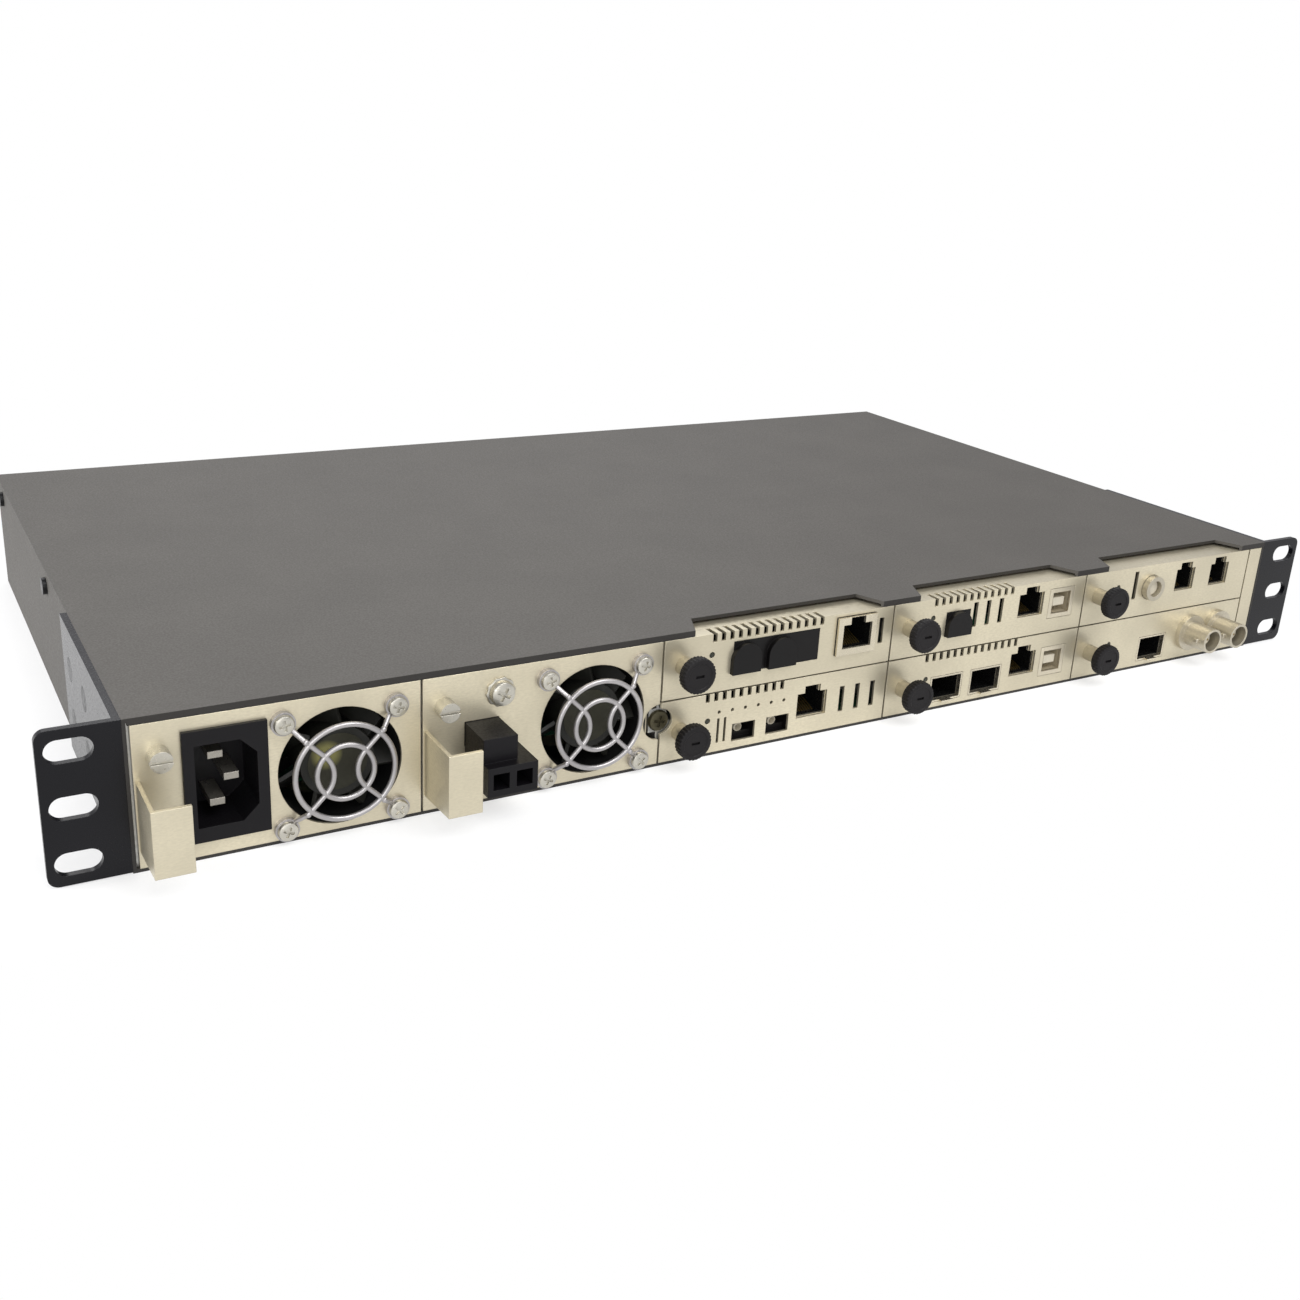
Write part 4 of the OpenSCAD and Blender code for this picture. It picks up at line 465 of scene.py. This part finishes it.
# Board parts, placed at random but the same each time: chips, small parts, cans and the edge's pads.
for i in range(6):
    card = f"card_{i + 1}"
    x0 = CARD_X[i % 3]
    top = (BOARD_U if i < 3 else BOARD_L) + BOARD_T
    chips, cans, pads = bmesh.new(), bmesh.new(), bmesh.new()
    for k in range(CHIPS):
        cx = x0 + CHIP_PITCH + CHIP_PITCH * k + rng.uniform(-CHIP_DRIFT_X, CHIP_DRIFT_X)
        cy = CHIP_Y + CHIP_STEP * (k % 2) + rng.uniform(-CHIP_DRIFT_Y, CHIP_DRIFT_Y)
        half = rng.uniform(*CHIP_SIDE) / 2
        add_box(chips, (cx - half, cy - half, top), (cx + half, cy + half, top + CHIP_H))
    for k in range(SMALL_PARTS):
        cx = x0 + SMALL_X + rng.uniform(0, SMALL_SPREAD_X)
        cy = SMALL_Y + rng.uniform(0, SMALL_SPREAD_Y)
        add_box(chips, (cx - SMALL_W / 2, cy - SMALL_D / 2, top),
                (cx + SMALL_W / 2, cy + SMALL_D / 2, top + SMALL_H))
    for k in range(CANS):
        place = ((x0 + CAN_X + CAN_PITCH * k) * MM, CAN_Y * MM, (top + CAN_H / 2) * MM)
        bmesh.ops.create_cone(cans, cap_ends=True, segments=28, radius1=CAN_R * MM, radius2=CAN_R * MM,
                              depth=CAN_H * MM, matrix=Matrix.Translation(place))
    for k in range(PADS):
        px = x0 + CARD_HALF + (k - (PADS - 1) / 2) * PAD_PITCH
        add_box(pads, (px - PAD_W / 2, BOARD_REAR - PAD_FRONT, top),
                (px + PAD_W / 2, BOARD_REAR - PAD_BACK, top + PAD_T))
    add(f"{card}_chips", chips, "chip_black", card, bevel=0.1)
    add(f"{card}_cans", cans, "can_alu", card)
    add(f"{card}_edge_pads", pads, "contact_gold", card)

# Stage: a floor that glows white away from the chassis and takes a soft shadow close by. In metres.
FLOOR_HALF, NEAR_HALF_W, GLOW_REACH = 6.0, 0.235, 0.03
NEAR_GLOW = 0.6
bm = bmesh.new()
bmesh.ops.create_grid(bm, x_segments=1, y_segments=1, size=FLOOR_HALF,
                      matrix=Matrix.Translation((0, 0, FLOOR_Z * MM)))
mesh = bpy.data.meshes.new("floor")
bm.to_mesh(mesh)
bm.free()
floor = bpy.data.objects.new("floor", mesh)
bpy.context.scene.collection.objects.link(floor)
floor_material, ft = new_material("floor_white")
floor_place = node(ft, "ShaderNodeTexCoord").outputs["Object"]
cloud = ramp(ft, noise(ft, floor_place, 9.0), 0.0, 1.0)
matt = node(ft, "ShaderNodeBsdfPrincipled")
feed_all(ft, matt, Roughness=0.9, Specular_IOR_Level=0.0,
         Base_Color=mix(ft, cloud, (0.93, 0.93, 0.93), (0.96, 0.96, 0.96)))
glow = node(ft, "ShaderNodeEmission")
feed_all(ft, glow, Color=(1.0, 1.0, 1.0), Strength=1.0)
half_d = BODY_D / 2 * MM
across = math_node(ft, "ABSOLUTE", axis_value(ft, floor_place, X_AXIS))
past_x = math_node(ft, "SUBTRACT", across, NEAR_HALF_W)
from_middle = math_node(ft, "SUBTRACT", axis_value(ft, floor_place, Y_AXIS), half_d)
past_y = math_node(ft, "SUBTRACT", math_node(ft, "ABSOLUTE", from_middle), half_d)
blend = node(ft, "ShaderNodeMixShader")
shares = ramp(ft, math_node(ft, "MAXIMUM", past_x, past_y), NEAR_GLOW, 1.0, 0.0, GLOW_REACH)
for socket, value in zip(blend.inputs, (shares, matt.outputs[0], glow.outputs[0])):
    feed(ft, value, socket)
feed(ft, blend.outputs[0], node(ft, "ShaderNodeOutputMaterial").inputs[0])
mesh.materials.append(floor_material)

# Area lights, in metres and watts: place, aim, size and power.
LIGHTS = {
    "key": ((0.3, -0.9, 1.4), (0.0, 0.05, 0.0), (1.4, 1.0), 24.0),
    "front": ((-0.7, -1.3, 0.35), (0.0, 0.0, 0.0), (1.2, 0.8), 10.0),
    "back": ((0.2, 1.4, 1.2), (0.0, 0.1, 0.0), (1.6, 0.8), 12.0),
    "left": ((-1.2, 0.5, 0.3), (-0.22, 0.12, 0.0), (0.8, 0.8), 14.0),
}
for name, (place, aim, size, power) in LIGHTS.items():
    data = bpy.data.lights.new(name, "AREA")
    data.shape = "RECTANGLE"
    data.size, data.size_y = size
    data.energy = power
    o = bpy.data.objects.new(name, data)
    o.location = place
    o.rotation_euler = (Vector(aim) - Vector(place)).to_track_quat("-Z", "Y").to_euler()
    bpy.context.scene.collection.objects.link(o)

# The world is white where the camera looks past the floor, and a soft grey light elsewhere.
world = bpy.data.worlds.new("world")
bpy.context.scene.world = world
world.use_nodes = True
wt = world.node_tree
wt.nodes.clear()
background = node(wt, "ShaderNodeBackground")
seen = node(wt, "ShaderNodeLightPath").outputs["Is Camera Ray"]
feed_all(wt, background, Color=mix(wt, seen, (0.60, 0.60, 0.62), (1.0, 1.0, 1.0)), Strength=1.0)
feed(wt, background.outputs[0], node(wt, "ShaderNodeOutputWorld").inputs[0])

# The camera, solved from the photo: its place in metres, its turn vector, and its focal length and
# principal point in the photo's pixels.
CAMERA_PLACE = (-0.2723, -0.3454, 0.1752)
CAMERA_TURN = Vector((1.8833, -0.4609, 0.394))
FOCAL, PHOTO_SIDE, CENTRE_X, CENTRE_Y = 1412.62, 1300.0, 643.58, 615.56
right, down, ahead = Matrix.Rotation(CAMERA_TURN.length, 3, CAMERA_TURN.normalized())
cam_data = bpy.data.cameras.new("camera")
cam_data.sensor_width = 36.0
cam_data.lens = FOCAL * cam_data.sensor_width / PHOTO_SIDE
cam_data.shift_x = (PHOTO_SIDE / 2 - CENTRE_X) / PHOTO_SIDE
cam_data.shift_y = (CENTRE_Y - PHOTO_SIDE / 2) / PHOTO_SIDE
cam_data.clip_start = 0.01
cam = bpy.data.objects.new("camera", cam_data)
axes = Matrix((right, -down, -ahead)).transposed()
cam.matrix_world = Matrix.Translation(CAMERA_PLACE) @ axes.to_4x4()
scene = bpy.context.scene
scene.collection.objects.link(cam)
scene.camera = cam
scene.view_settings.view_transform = "Standard"
